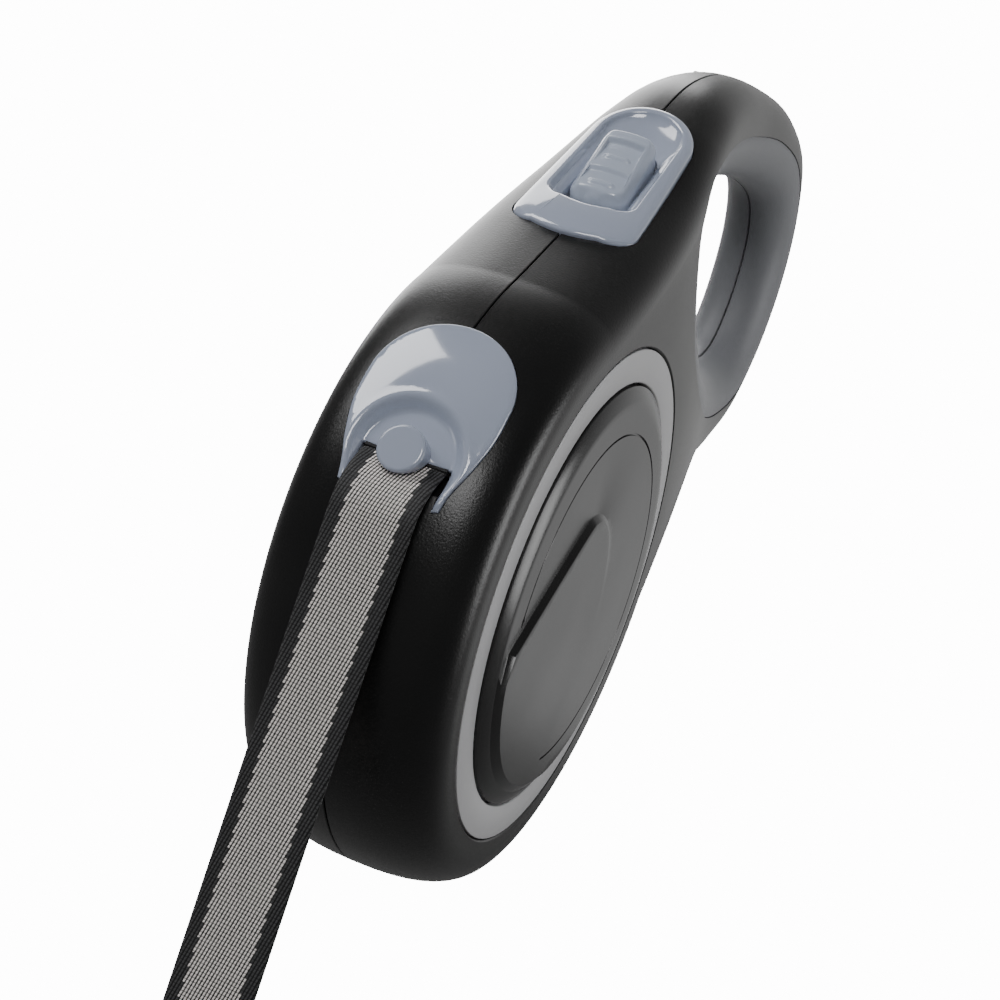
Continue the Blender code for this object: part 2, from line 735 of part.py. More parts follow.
def make_spool():
    face = FLANGE_IN + FLANGE_T
    flange = solid("ratchet_flange", prism(ratchet_outline(), -face, -FLANGE_IN), "inner_plastic")
    cut(flange, cutter("flange_bore", cross_rod(-20, 20, 0, 0, AXLE_R + GAP)))
    hub = [(HUB_BORE, -FLANGE_IN + GAP), (HUB_R, -FLANGE_IN + GAP), (HUB_R, FLANGE_IN - GAP),
           (HUB_BORE, FLANGE_IN - GAP)]
    barrel = turned("spool_hub", hub, "inner_plastic", (0.0, 0.0, 0.0))
    cover = [(ARBOR_R + 0.5, FLANGE_IN), (COVER_R, FLANGE_IN), (COVER_R, face), (ARBOR_R + 0.5, face)]
    cover_obj = turned("spool_cover", cover, "inner_plastic", (0.0, 0.0, 0.0))
    pack = [(HUB_R + GAP, -TAPE_W / 2), (PACK_R, -TAPE_W / 2), (PACK_R, TAPE_W / 2), (HUB_R + GAP, TAPE_W / 2)]
    turned("tape_pack", pack, "tape", (0.0, 0.0, 0.0))
    for i in range(3):
        y, z = on_circle(SPOOL_SCREW_R, 90 + 120 * i)
        for target, label in ((flange, "flange"), (barrel, "hub"), (cover_obj, "cover")):
            cut(target, cutter(f"{label}_screw_hole_{i}", cross_rod(-20, 20, y, z, 1.0 + GAP / 2, 16)))
        low, high = -face + 0.2, face
        profile = [(0.0, low), (0.8, low), (0.8, high + GAP), (1.7, high + GAP), (1.7, high + 1.1),
                   (0.0, high + 1.1)]
        turned(f"spool_screw_{i + 1}", profile, "steel", (0.0, y, z))


def make_core():
    """The fixed axle, the arbor on it and the mainspring in the hub."""
    half = CAVITY_HALF - 0.4
    turned("spool_axle", [(0.0, -half), (AXLE_R, -half), (AXLE_R, half), (0.0, half)], "steel", (0.0, 0.0, 0.0))
    arbor = [(AXLE_R + GAP, -6.0), (ARBOR_R, -6.0), (ARBOR_R, 8.0), (AXLE_R + GAP, 8.0)]
    turned("spring_arbor", arbor, "inner_plastic", (0.0, 0.0, 0.0))
    solid("mainspring", prism(spiral_outline(), -5.0, 5.4), "spring_steel")


def spiral_outline():
    """A flat strip wound between the arbor and the hub: out along one side and back along the other."""
    inner, outer, turns, thickness = ARBOR_R + 0.5, HUB_BORE - 0.6, 5, 0.3
    count = turns * 16
    line = []
    for i in range(count + 1):
        share = i / count
        line.append((inner + (outer - inner) * share, 360.0 * turns * share))
    outside = [on_circle(r + thickness, a) for r, a in line]
    return outside + [on_circle(r, a) for r, a in reversed(line)]


# Tape

def make_tape():
    solid("tape_lead", strip(lead_path(), TAPE_W, TAPE_T), "tape")
    solid("tape_free", strip(free_path(), TAPE_W, TAPE_T), "tape")
    roller = [(PIN_R + 0.2, -6.2), (ROLLER_R, -6.2), (ROLLER_R, 6.2), (PIN_R + 0.2, 6.2)]
    turned("guide_roller", roller, "inner_plastic", (0.0, *ROLLER))
    turned("roller_pin", [(0.0, -10.3), (PIN_R, -10.3), (PIN_R, 10.3), (0.0, 10.3)], "steel", (0.0, *ROLLER))


# Nose trim

def make_nose():
    outline = trim_outline()
    edge = inset_pairs(outline, 0.5)
    levels = [trim_loop(outline, -TRIM_DOWN), trim_loop(outline, TRIM_UP - 0.5), trim_loop(edge, TRIM_UP)]
    trim = solid("nose_trim", loft(levels), "trim_grey")
    across = nose_direction(DISH_MID)
    floor_r = CASE_R - 2.0
    join(trim, cutter("dish_body", dish_body(DISH_R + 0.3, floor_r - 1.1, CASE_R - 0.6)))
    hollow = rod(across * floor_r, across * (CASE_R + 1.0), DISH_FLOOR, 40, DISH_R + 0.9)
    cut(trim, cutter("dish_hollow", hollow))
    post = rod(across * (floor_r - 0.4), across * (CASE_R + BOSS_FACE), NOSE_BOSS_R, 32)
    join(trim, cutter("boss_post", post))
    _, along = tape_direction()
    up = Vector((0.0, along.y, -along.x))
    run = Vector((0.0, along.x, along.y))
    exit_at = Vector((0.0, EXIT_Y, EXIT_Z))
    tape_room = []
    for reach in (-4.0, 12.0):
        tape_room.append([exit_at + run * reach + Vector((6.4 * i, 0, 0)) + up * j
                          for i, j in ((-1, -6.0), (1, -6.0), (1, 0.85), (-1, 0.85))])
    cut(trim, cutter("tape_room", loft(tape_room)))


def inset_pairs(outline, distance):
    """The trim's outline moved inwards on the rim, where one degree is CASE_R * pi / 180 long."""
    scale = math.radians(1) * CASE_R
    flat = [(a * scale, x) for a, x in outline]
    return [(a / scale, x) for a, x in inset(flat, distance)]


# Brake

def make_brake():
    bezel_levels = [
        shoulder_loop(BEZEL, -0.9), shoulder_loop(BEZEL, 0.2), shoulder_loop(BEZEL, 0.8, True, -0.7),
        shoulder_loop(POCKET, 0.8), shoulder_loop(POCKET, TRAY_TOP, False, -0.1),
        shoulder_loop(BUTTON_SLOT, TRAY_TOP, False), shoulder_loop(BUTTON_SLOT, TRAY_BOTTOM, False),
        shoulder_loop(POCKET, TRAY_BOTTOM, False, 0.6), shoulder_loop(POCKET, -0.9, True, 0.6),
    ]
    solid("brake_bezel", loft(bezel_levels, closed=True), "trim_grey", shoulder(0.0, 0.0, 0.0))
    make_button()
    plate = oval(-5.6, 10.0, 5.2, 5.0, 2.5)
    carriage_bm = loft([shoulder_loop(plate, -7.3, False), shoulder_loop(plate, -5.9, False)])
    carriage = solid("brake_carriage", carriage_bm, "inner_plastic", shoulder(0.0, 0.0, 0.0))
    post = cutter("carriage_post", rod(shoulder(0, -2, -12.3), shoulder(0, -2, -6.5), 2.0, 20))
    join(carriage, post)
    make_pawl()


def make_button():
    """The thumb piece: a retaining flange under the tray, a stem through it and a stepped, ribbed pad."""
    flange = oval(BUTTON_FRONT, BUTTON_BACK + 1.2, BUTTON_W + 1.1, BUTTON_W + 0.8, 3.2)
    flange_bm = loft([shoulder_loop(flange, -5.3, False), shoulder_loop(flange, -4.2, False)])
    button = solid("brake_button", flange_bm, "trim_grey", shoulder(0.0, 0.0, 0.0))
    stations = [(BUTTON_FRONT, -1.0), (BUTTON_FRONT + 1.6, 0.5), (-3.4, 0.9), (-1.2, 1.7), (3.0, 1.5),
                (5.4, 2.8), (7.2, 3.0), (BUTTON_BACK, 0.6)]
    side_view = [(s, -4.6) for s in (BUTTON_BACK, BUTTON_FRONT)] + stations
    loops = []
    for x in (-BUTTON_W, BUTTON_W):
        loops.append([shoulder(x, s, h) for s, h in side_view])
    pad = cutter("button_pad", loft(loops))
    stem = loft([shoulder_loop(BUTTON, -5.0, False), shoulder_loop(BUTTON, 5.0, False)])
    combine(pad, cutter("button_stem", stem), "INTERSECT")
    join(button, pad)


def make_pawl():
    """The brake lever: it turns on its pin and drops one tooth between the teeth of the flange."""
    y, z = PAWL_PIN
    arm_outline = [(y - 2.3, z - 1.6), (y - 1.2, z - 2.2), (y + 2.0, z - 2.2), (y + 9.0, z - 1.2),
                   (y + 15.0, z - 0.8), (y + 15.0, z + 1.7), (y + 8.5, z + 2.0), (y + 2.0, z + 2.0),
                   (y - 1.2, z + 2.2), (y - 2.3, z + 1.2)]
    arm = solid("brake_pawl", prism(arm_outline, -8.0, 3.0), "inner_plastic", (0.0, y, z))
    tooth = [(y + 11.5, z - 0.6), (y + 11.9, z - 5.0), (y + 13.4, z - 5.2), (y + 14.8, z - 0.5)]
    join(arm, cutter("pawl_tooth", prism(tooth, -8.0, -6.6)))
    cut(arm, cutter("pawl_bore", cross_rod(-12, 12, y, z, PAWL_PIN_R + 0.2, 24)))
    turned("pawl_pin", [(0.0, -10.3), (PAWL_PIN_R, -10.3), (PAWL_PIN_R, 10.3), (0.0, 10.3)], "steel",
           (0.0, y, z))
    helix = []
    turns, per_turn = 3, 10
    for i in range(turns * per_turn + 1):
        a = 2 * math.pi * i / per_turn
        helix.append((3.9 + 4.2 * i / (turns * per_turn), 2.0 * math.cos(a), 2.0 * math.sin(a)))
    wire("pawl_spring", helix, 0.3, "spring_steel", (0.0, y, z))


def wire(name, points, radius, material, at):
    """A round wire through points that are relative to its own origin."""
    data = bpy.data.curves.new(name, "CURVE")
    data.dimensions = "3D"
    data.bevel_depth = radius * MM
    data.bevel_resolution = 2
    data.use_fill_caps = True
    line = data.splines.new("POLY")
    line.points.add(len(points) - 1)
    for point, co in zip(line.points, points):
        point.co = (*(c * MM for c in co), 1.0)
    return add_object(name, data, material, at)


# Snap hook

def loop_path():
    """The tape's end: down past the eye, round its bar and up again behind the free tape."""
    reach = EYE_R + GAP + TAPE_T / 2
    path = [(TAPE_Y, TAPE_END - GAP), (TAPE_Y, EYE_Z + 4.5)]
    bar = (LOOP_Y, EYE_Z)
    path += [on_circle(reach, a, bar) for a in range(170, 375, 20)]
    behind = TAPE_Y + TAPE_T + GAP
    return path + [(behind, EYE_Z + 4.5), (behind, TAPE_END + 12.0)]


def make_loop_and_stopper():
    solid("tape_loop", strip(loop_path(), TAPE_W, TAPE_T), "tape")
    middle = TAPE_Y + (TAPE_T + GAP) / 2
    sleeve = []
    for z, grow in ((-81.0, 0.0), (-80.4, 0.6), (-70.6, 0.6), (-70.0, 0.0)):
        sleeve.append([(i * (7.6 + grow), middle + j * (2.5 + grow), z)
                       for i, j in ((-1, -0.6), (-0.86, -1), (0.86, -1), (1, -0.6), (1, 0.6), (0.86, 1),
                                    (-0.86, 1), (-1, 0.6))])
    stopper = solid("tape_stopper", loft(sleeve), "stopper_black", (0.0, middle, -75.5))
    room = block((-6.3, middle - 1.25, -90), (6.3, middle + 1.25, -60))
    cut(stopper, cutter("stopper_slot", room))


def make_eye():
    """The swivel eye: a bar for the tape, a D that narrows to a post, and the post's head."""
    half, low = EYE_HALF, EYE_Z - 8.6
    path = [(-half, LOOP_Y, EYE_Z), (0.0, LOOP_Y, EYE_Z), (half, LOOP_Y, EYE_Z)]
    path += [(half + 0.9, LOOP_Y, EYE_Z - 1.6)]
    path += [(half - 0.6, LOOP_Y, EYE_Z - 4.4), (3.4, LOOP_Y, low + 1.0), (0.0, LOOP_Y, low + 0.2)]
    path += [(-3.4, LOOP_Y, low + 1.0), (-half + 0.6, LOOP_Y, EYE_Z - 4.4), (-half - 0.9, LOOP_Y, EYE_Z - 1.6)]
    eye = solid("hook_eye", tube(path, EYE_R, 12, closed=True), "chrome", (0.0, LOOP_Y, EYE_Z))
    post = rod((0, LOOP_Y, low + 0.3), (0, LOOP_Y, BARREL_TOP - 4.4), 1.8, 20)
    head = rod((0, LOOP_Y, BARREL_TOP - 3.2), (0, LOOP_Y, BARREL_TOP - 4.8), 2.8, 20)
    join(eye, cutter("eye_post", post), cutter("eye_head", head))


def hook_path():
    """The curved jaw: from the barrel's foot, out to one side and round to a tip under the bolt."""
    tip = BOLT_TIP - 0.6
    points = [(-2.2, BARREL_END + 8.0), (-3.2, BARREL_END + 3.0), (-7.0, BARREL_END - 1.0),
              (-11.2, BARREL_END - 6.0), (-12.4, BARREL_END - 12.5), (-9.2, BARREL_END - 18.4),
              (-3.6, BARREL_END - 20.2), (0.4, BARREL_END - 17.2), (0.2, tip), (0.0, tip + 5.0)]
    return [(x, LOOP_Y, z) for x, z in spline(points, 4, False)] + [(0.2, LOOP_Y, tip)]


def make_hook():
    body = solid("hook_body", rod((0, LOOP_Y, BARREL_END), (0, LOOP_Y, BARREL_TOP), BARREL_R, 32), "chrome",
                 (0.0, LOOP_Y, BARREL_TOP))
    join(body, cutter("hook_jaw", tube(hook_path(), HOOK_R, 12)))
    swivel = rod((0, LOOP_Y, BARREL_TOP + 1), (0, LOOP_Y, BARREL_TOP - 3.0), 1.8 + GAP, 20)
    pocket = rod((0, LOOP_Y, BARREL_TOP - 2.6), (0, LOOP_Y, BARREL_TOP - 5.4), 2.8 + GAP, 20)
    bore = rod((0, LOOP_Y, BARREL_TOP - 7.0), (0, LOOP_Y, BARREL_END - 1.0), BOLT_R + 0.35, 24)
    stud_z = BOLT_TOP - 2.0
    slot = block((-1.7, LOOP_Y - 9, stud_z - 1.7), (1.7, LOOP_Y, stud_z + BOLT_TRAVEL + 1.7))
    window = block((-6.0, LOOP_Y - 1.2, BARREL_TOP - 5.4), (6.0, LOOP_Y + 1.2, BARREL_TOP - 2.6))
    cut(body, cutter("swivel_bore", swivel), cutter("swivel_pocket", pocket), cutter("swivel_window", window),
        cutter("bolt_bore", bore), cutter("stud_slot", slot))
    bolt = solid("hook_bolt", rod((0, LOOP_Y, BOLT_TIP), (0, LOOP_Y, BOLT_TOP), BOLT_R, 24), "chrome",
                 (0.0, LOOP_Y, BOLT_TOP))
    stud = rod((0, LOOP_Y, stud_z), (0, LOOP_Y - 6.2, stud_z), 1.2, 20)
    head = rod((0, LOOP_Y - BARREL_R - 0.5, stud_z), (0, LOOP_Y - BARREL_R - 2.4, stud_z), 2.4, 20, 2.1)
    join(bolt, cutter("stud_stem", stud), cutter("stud_head", head))
    turns, per_turn = 6, 8
    top, bottom = BARREL_TOP - 7.4, BOLT_TOP + 0.5
    helix = []
    for i in range(turns * per_turn + 1):
        a = 2 * math.pi * i / per_turn
        helix.append((1.3 * math.cos(a), 1.3 * math.sin(a), (bottom - top) * i / (turns * per_turn)))
    wire("bolt_spring", helix, 0.22, "spring_steel", (0.0, LOOP_Y, top))


clear_scene()
PARTS = make_collection("retractable_leash")
CUTTERS = make_collection("cutters", hidden=True)
MATERIALS = make_materials()

case_half("case_right", 1)
case_half("case_left", -1)
for label, sign in (("right", 1), ("left", -1)):
    solid("grip_liner_" + label, liner_solid(sign), "grip_grey")
    side_ring("side_ring_" + label, sign)
    side_cap_trim("side_cap_" + label, sign)
for index, site in enumerate(SCREW_SITES):
    case_screw(f"case_screw_{index + 1}", *site)
make_nose()
make_brake()
make_spool()
make_core()
make_tape()
make_loop_and_stopper()
make_eye()
make_hook()
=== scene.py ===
"""Looks of the retractable leash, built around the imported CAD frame.

Shapes are drawn in millimetres in the case frame: its centre is the spool axis on the parting plane, X runs
across the case, Y back to the hand loop and Z up. place() turns them into the frame's metres.
"""

import json
import math

import bmesh
import bpy
from mathutils import Matrix, Vector
from mathutils.geometry import delaunay_2d_cdt


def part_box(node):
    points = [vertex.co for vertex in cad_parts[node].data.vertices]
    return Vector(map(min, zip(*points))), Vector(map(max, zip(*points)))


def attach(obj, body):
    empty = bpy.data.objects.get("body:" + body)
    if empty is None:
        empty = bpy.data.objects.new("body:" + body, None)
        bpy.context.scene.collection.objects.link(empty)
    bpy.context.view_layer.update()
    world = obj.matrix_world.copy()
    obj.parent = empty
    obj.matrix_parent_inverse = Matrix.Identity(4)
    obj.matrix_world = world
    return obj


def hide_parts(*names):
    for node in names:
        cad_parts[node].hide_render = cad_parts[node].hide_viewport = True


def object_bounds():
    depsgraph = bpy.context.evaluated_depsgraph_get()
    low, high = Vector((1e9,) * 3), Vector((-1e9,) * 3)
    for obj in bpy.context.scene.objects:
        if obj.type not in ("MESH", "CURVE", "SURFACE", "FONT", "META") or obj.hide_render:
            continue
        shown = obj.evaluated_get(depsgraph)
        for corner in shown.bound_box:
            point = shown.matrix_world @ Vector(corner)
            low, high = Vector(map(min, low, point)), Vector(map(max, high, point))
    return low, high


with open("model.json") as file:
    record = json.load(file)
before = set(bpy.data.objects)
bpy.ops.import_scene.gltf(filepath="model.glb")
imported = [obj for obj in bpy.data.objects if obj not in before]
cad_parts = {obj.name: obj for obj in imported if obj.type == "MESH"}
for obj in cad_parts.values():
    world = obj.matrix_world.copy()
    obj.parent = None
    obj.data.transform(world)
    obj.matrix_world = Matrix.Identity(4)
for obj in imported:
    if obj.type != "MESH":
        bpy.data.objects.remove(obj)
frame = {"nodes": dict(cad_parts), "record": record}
CAD_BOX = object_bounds()


def middle(node):
    low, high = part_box(node)
    return [(a + b) / 2 for a, b in zip(low, high)]


MM = 0.001
AXIS = Vector((0.0, middle("side_ring_right")[1], middle("side_ring_right")[2]))

# Case
CASE_R = 47.8
DISC_HALF, LOOP_HALF = 15.4, 7.0
TAPER_FROM, TAPER_TO = 37.5, 100.5
RIM_W, BAR_W = 8.0, 9.1
RIM_ROUND, SIDE_ROUND = 0.67, 0.84
WALL, CAVITY_HALF = 2.4, 11.6
DISC_FROM, DISC_TO = -1.0, -238.0
HAND_OUTLINE = [
    (-13.4, 49.4), (1.1, 61.1), (14.4, 73.6), (25.4, 81.2), (40.0, 86.4), (58.0, 89.2), (76.5, 90.2),
    (94.4, 86.9), (106.8, 76.0), (112.2, 62.0), (110.8, 47.0), (103.0, 33.4), (88.9, 25.0), (71.5, 20.4),
    (54.8, 13.4),
]
OPENING = [
    (20.2, 58.6), (26.7, 64.0), (37.1, 68.0), (52.3, 71.8), (70.1, 74.6), (86.8, 73.8), (96.0, 67.0),
    (98.6, 56.3), (95.4, 46.8), (85.8, 42.2), (70.0, 40.8), (56.1, 41.4), (41.4, 43.6), (26.5, 50.0),
]
LINER_W, LINER_T, LIP_HALF, LINER_ROUND = 8.3, 1.8, 0.975, 0.9
SCREW_SITES = [(46.5, 83.5), (95.2, 82.8), (95.0, 32.0), (44.0, 20.5)]
SCREW_SINK_R = 2.6

# Side trims
RING_R, RING_IN, RECESS_R, RECESS_DEPTH = 38.0, 32.9, 38.25, 1.8
CAP_R, CAP_RISE, STEP_RISE = 32.5, 1.2, 0.9
CAP_FACE_R, CAP_TIP = 30.2, (-5.5, 9.5)
GROOVE_R, GROOVE_FROM, GROOVE_TO = 25.5, -170.0, -440.0

# Tape
TAPE_W, TAPE_T = 12.0, 0.75
PACK_R, GAP = 37.3, 0.3
EXIT_Y, EXIT_Z = -44.8, 12.6
TAPE_Y, BEND_R, STRAIGHT, TAPE_END = -49.9, 8.5, 2.5, -80.0
STRIPE_HALF = 4.0
THREAD = 0.40
THREADS_ACROSS, ROWS_ALONG, ROW_SHIFT = 2.1, 1.855, 0.263

# Nose trim
TRIM_MID, TRIM_R, TRIM_TIP, TRIM_LEG, TRIM_LIP = 150.8, 10.3, 170.8, 6.5, 163.4
DISH_MID, DISH_R, DISH_FLOOR, DISH_DEPTH = 163.4, 8.2, 6.4, 1.6
NOSE_BOSS_R, BOSS_FACE = 3.3, 2.0

# Brake
SHOULDER, SHOULDER_SLOPE = (0.5, 61.5), 41.0
BEZEL_FRONT, BEZEL_BACK, BEZEL_W = -18.7, 18.7, 9.7
POCKET_FRONT, POCKET_BACK, POCKET_W = -10.7, 16.8, 6.7
BUTTON_FRONT, BUTTON_BACK, BUTTON_W = -7.6, 9.6, 4.7
LOCK, TRAY_TOP, TRAY_BOTTOM = 2.4, -2.6, -3.8

# Hook
EYE_Z, EYE_R, EYE_HALF = -90.0, 1.5, 7.8
LOOP_Y = TAPE_Y + 0.55
BARREL_TOP, BARREL_END, BARREL_R = -101.0, -130.0, 4.2
BOLT_TOP, BOLT_TIP, BOLT_TRAVEL = -121.0, -141.0, 7.5
HOOK_R = 2.1


def place(point):
    return Vector(point) * MM + AXIS


# Meshes

def add_piece(name, mesh, material, angle=35):
    mesh.shade_smooth()
    if angle:
        mesh.set_sharp_from_angle(angle=math.radians(angle))
    obj = bpy.data.objects.new(name, mesh)
    bpy.context.scene.collection.objects.link(obj)
    if material:
        mesh.materials.append(material)
    return obj


def mesh_of(bm, name):
    bmesh.ops.recalc_face_normals(bm, faces=bm.faces)
    bmesh.ops.transform(bm, matrix=Matrix.Translation(AXIS) @ Matrix.Scale(MM, 4), verts=bm.verts)
    mesh = bpy.data.meshes.new(name)
    bm.to_mesh(mesh)
    bm.free()
    return mesh


def piece(name, bm, material, body, nodes, angle=35):
    obj = add_piece(name, mesh_of(bm, name), material, angle)
    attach(obj, body)
    if nodes:
        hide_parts(*nodes)
    return obj


def loft(loops, closed=False, capped=True):
    bm = bmesh.new()
    rows = [[bm.verts.new(p) for p in loop] for loop in loops]
    pairs = list(zip(rows, rows[1:]))
    if closed:
        pairs.append((rows[-1], rows[0]))
    for a, b in pairs:
        for i in range(len(a)):
            j = (i + 1) % len(a)
            bm.faces.new((a[i], a[j], b[j], b[i]))
    if capped and not closed:
        bm.faces.new(rows[0])
        bm.faces.new(rows[-1])
    return bm


def turn_x(profile, segments=96, y=0.0, z=0.0):
    """A solid turned about X: (radius, x) points, with a point on the axis where it is closed there."""
    bm = bmesh.new()
    rows = []
    for r, x in profile:
        if r < 1e-6:
            rows.append([bm.verts.new((x, y, z))])
            continue
        angles = [2 * math.pi * k / segments for k in range(segments)]
        rows.append([bm.verts.new((x, y + r * math.cos(a), z + r * math.sin(a))) for a in angles])
    closed = len(rows[0]) > 1
    pairs = list(zip(rows, rows[1:])) + ([(rows[-1], rows[0])] if closed else [])
    for a, b in pairs:
        for i in range(segments):
            j = (i + 1) % segments
            if len(a) == 1:
                bm.faces.new((a[0], b[j], b[i]))
            elif len(b) == 1:
                bm.faces.new((a[i], a[j], b[0]))
            else:
                bm.faces.new((a[i], a[j], b[j], b[i]))
    return bm


def turned_along(profile, origin, direction, segments=64):
    """A turned solid whose axis is any line: (radius, height along the line) points."""
    bm = turn_x(profile, segments)
    turn = Vector((1.0, 0.0, 0.0)).rotation_difference(Vector(direction)).to_matrix().to_4x4()
    bmesh.ops.transform(bm, matrix=Matrix.Translation(Vector(origin)) @ turn, verts=bm.verts)
    return bm


def rod(start, end, radius, segments=32, end_radius=None):
    bm = bmesh.new()
    line = Vector(end) - Vector(start)
    turn = line.to_track_quat("Z", "Y").to_matrix().to_4x4()
    last = radius if end_radius is None else end_radius
    bmesh.ops.create_cone(bm, cap_ends=True, segments=segments, radius1=radius, radius2=last,
                          depth=line.length,
                          matrix=Matrix.Translation((Vector(start) + Vector(end)) / 2) @ turn)
    return bm


def boolean(obj, bm, operation="DIFFERENCE"):
    """Cuts or joins a solid into a piece, and keeps the result as its mesh."""
    tool = bpy.data.objects.new("tool", mesh_of(bm, "tool"))
    bpy.context.scene.collection.objects.link(tool)
    tool.data.shade_smooth()
    modifier = obj.modifiers.new("boolean", "BOOLEAN")
    modifier.operation = operation
    modifier.object = tool
    modifier.solver = "EXACT"
    with bpy.context.temp_override(object=obj, active_object=obj, selected_objects=[obj]):
        bpy.ops.object.modifier_apply(modifier=modifier.name)
    bpy.data.objects.remove(tool)


def tube(path, radius, segments=24, closed=False, taper=None):
    """A round bar along a path that stays in one X-Z plane."""
    loops = []
    count = len(path)
    for i, point in enumerate(path):
        before = path[(i - 1) % count] if closed else path[max(i - 1, 0)]
        after = path[(i + 1) % count] if closed else path[min(i + 1, count - 1)]
        along = (Vector(after) - Vector(before)).normalized()
        across = Vector((0.0, 1.0, 0.0))
        up = along.cross(across)
        r = taper(i / (count - 1)) if taper else radius
        loops.append([Vector(point) + (across * math.cos(a) + up * math.sin(a)) * r
                      for a in (2 * math.pi * k / segments for k in range(segments))])
    return loft(loops, closed)


# Plane curves, the same as the CAD model's but finer

def smoothstep(value, low, high):
    t = min(max((value - low) / (high - low), 0.0), 1.0)
    return t * t * (3 - 2 * t)


def spline(points, steps, closed):
    count = len(points)
    spans = range(count) if closed else range(1, count - 2)
    curve = []
    for i in spans:
        p0, p1, p2, p3 = (points[(i + k) % count] for k in (-1, 0, 1, 2))
        for k in range(steps):
            t = k / steps
            curve.append(tuple(0.5 * (2 * b + (c - a) * t + (2 * a - 5 * b + 4 * c - d) * t * t
                                      + (3 * b - a - 3 * c + d) * t ** 3)
                               for a, b, c, d in zip(p0, p1, p2, p3)))
    return curve


def on_circle(radius, degrees, centre=(0.0, 0.0)):
    a = math.radians(degrees)
    return (centre[0] + radius * math.cos(a), centre[1] + radius * math.sin(a))


def case_outline(fineness):
    count = 32 * fineness + 1
    step = (DISC_TO - DISC_FROM) / (count - 1)
    arc = [on_circle(CASE_R, DISC_FROM + step * i) for i in range(count)]
    ends = [on_circle(CASE_R, DISC_FROM + 7.4 * k) for k in (0, -1)]
    starts = [on_circle(CASE_R, DISC_TO + 7.4), on_circle(CASE_R, DISC_TO)]
    hand = spline(starts + HAND_OUTLINE + ends, 3 * fineness, False)
    return arc + hand[1:]


def normals(loop):
    area = sum(a[0] * b[1] - b[0] * a[1] for a, b in zip(loop, loop[1:] + loop[:1]))
    side = 1.0 if area > 0 else -1.0
    found = []
    for i in range(len(loop)):
        before, after = loop[i - 1], loop[(i + 1) % len(loop)]
        dy, dz = after[0] - before[0], after[1] - before[1]
        length = math.hypot(dy, dz)
        found.append((-side * dz / length, side * dy / length))
    return found


def inset(loop, distances):
    if not isinstance(distances, list):
        distances = [distances] * len(loop)
    return [(p[0] + n[0] * d, p[1] + n[1] * d) for p, n, d in zip(loop, normals(loop), distances)]


def inside(point, loop):
    odd = False
    for a, b in zip(loop, loop[1:] + loop[:1]):
        if (a[1] > point[1]) != (b[1] > point[1]):
            odd ^= point[0] < a[0] + (point[1] - a[1]) * (b[0] - a[0]) / (b[1] - a[1])
    return odd


def half_thickness(y, z):
    return DISC_HALF - (DISC_HALF - LOOP_HALF) * smoothstep(math.hypot(y, z), TAPER_FROM, TAPER_TO)


def edge_width(y, z):
    return RIM_W + (BAR_W - RIM_W) * smoothstep(math.hypot(y, z), 48.0, 70.0)


def edge_drop(x, half, width):
    turn = math.asin(min(abs(x) / half, 1.0) ** (1 / SIDE_ROUND))
    return width * (1 - math.cos(turn) ** RIM_ROUND)


# Case shells

def rounded_loops(fineness, wall, steps, lead):
    """Loops from the parting plane over the rounded rim. lead is the (x, inset) start at the parting line."""
    outline = case_outline(fineness)
    rim = inset(outline, wall) if wall else outline
    widths = [edge_width(*p) - wall for p in outline]
    ends = inset(rim, widths)
    limit = CAVITY_HALF if wall else 99.0
    heights = [min(half_thickness(y, z) - wall, limit) for y, z in ends]
    loops = [[(x, y, z) for y, z in inset(rim, d)] for x, d in lead]
    first = lead[-1][0]
    for k in range(1, steps + 1):
        turn = math.pi / 2 * math.sin(math.pi / 2 * k / steps)
        fall = 1 - max(math.cos(turn), 0.0) ** RIM_ROUND if k < steps else 1.0
        level = inset(rim, [w * fall for w in widths])
        loops.append([(max(h * math.sin(turn) ** SIDE_ROUND, first + 0.01), y, z)
                      for h, (y, z) in zip(heights, level)])
    return loops, limit


def half_solid(side, fineness, wall, steps, lead, spacing):
    loops, limit = rounded_loops(fineness, wall, steps, lead)
    bm = bmesh.new()
    rows = [[bm.verts.new((side * x, y, z)) for x, y, z in loop] for loop in loops]
    for a, b in zip(rows, rows[1:]):
        for i in range(len(a)):
            j = (i + 1) % len(a)
            bm.faces.new((a[i], a[j], b[j], b[i]))
    bm.faces.new(rows[0])
    ring = [(y, z) for _, y, z in loops[-1]]
    shrunk = inset(ring, 0.6 * spacing)
    grid = []
    for i in range(int(-60 / spacing), int(125 / spacing)):
        for j in range(int(-60 / spacing), int(100 / spacing)):
            point = (i * spacing, j * spacing)
            if inside(point, shrunk):
                grid.append(Vector(point))
    count = len(ring)
    edges = [(i, (i + 1) % count) for i in range(count)]
    points, _, faces, _, _, _ = delaunay_2d_cdt([Vector(p) for p in ring] + grid, edges, [], 0, 1e-4, True)
    top = [bm.verts.new((side * min(half_thickness(p.x, p.y) - wall, limit), p.x, p.y)) for p in points]
    for face in faces:
        centre = sum((points[i] for i in face), Vector((0, 0))) / 3
        if inside(centre, ring):
            bm.faces.new([top[i] for i in face])
    bmesh.ops.remove_doubles(bm, verts=bm.verts, dist=0.001)
    bmesh.ops.delete(bm, geom=[v for v in bm.verts if not v.link_faces], context="VERTS")
    return bm


def liner_curve(inset_by, steps):
    curve = []
    for k in range(steps + 1):
        turn = math.pi / 2 * k / steps
        fall = 1 - max(math.cos(turn), 0.0) ** LINER_ROUND
        curve.append((inset_by + (LINER_W - inset_by) * fall, math.sin(turn) ** LINER_ROUND))
    return curve


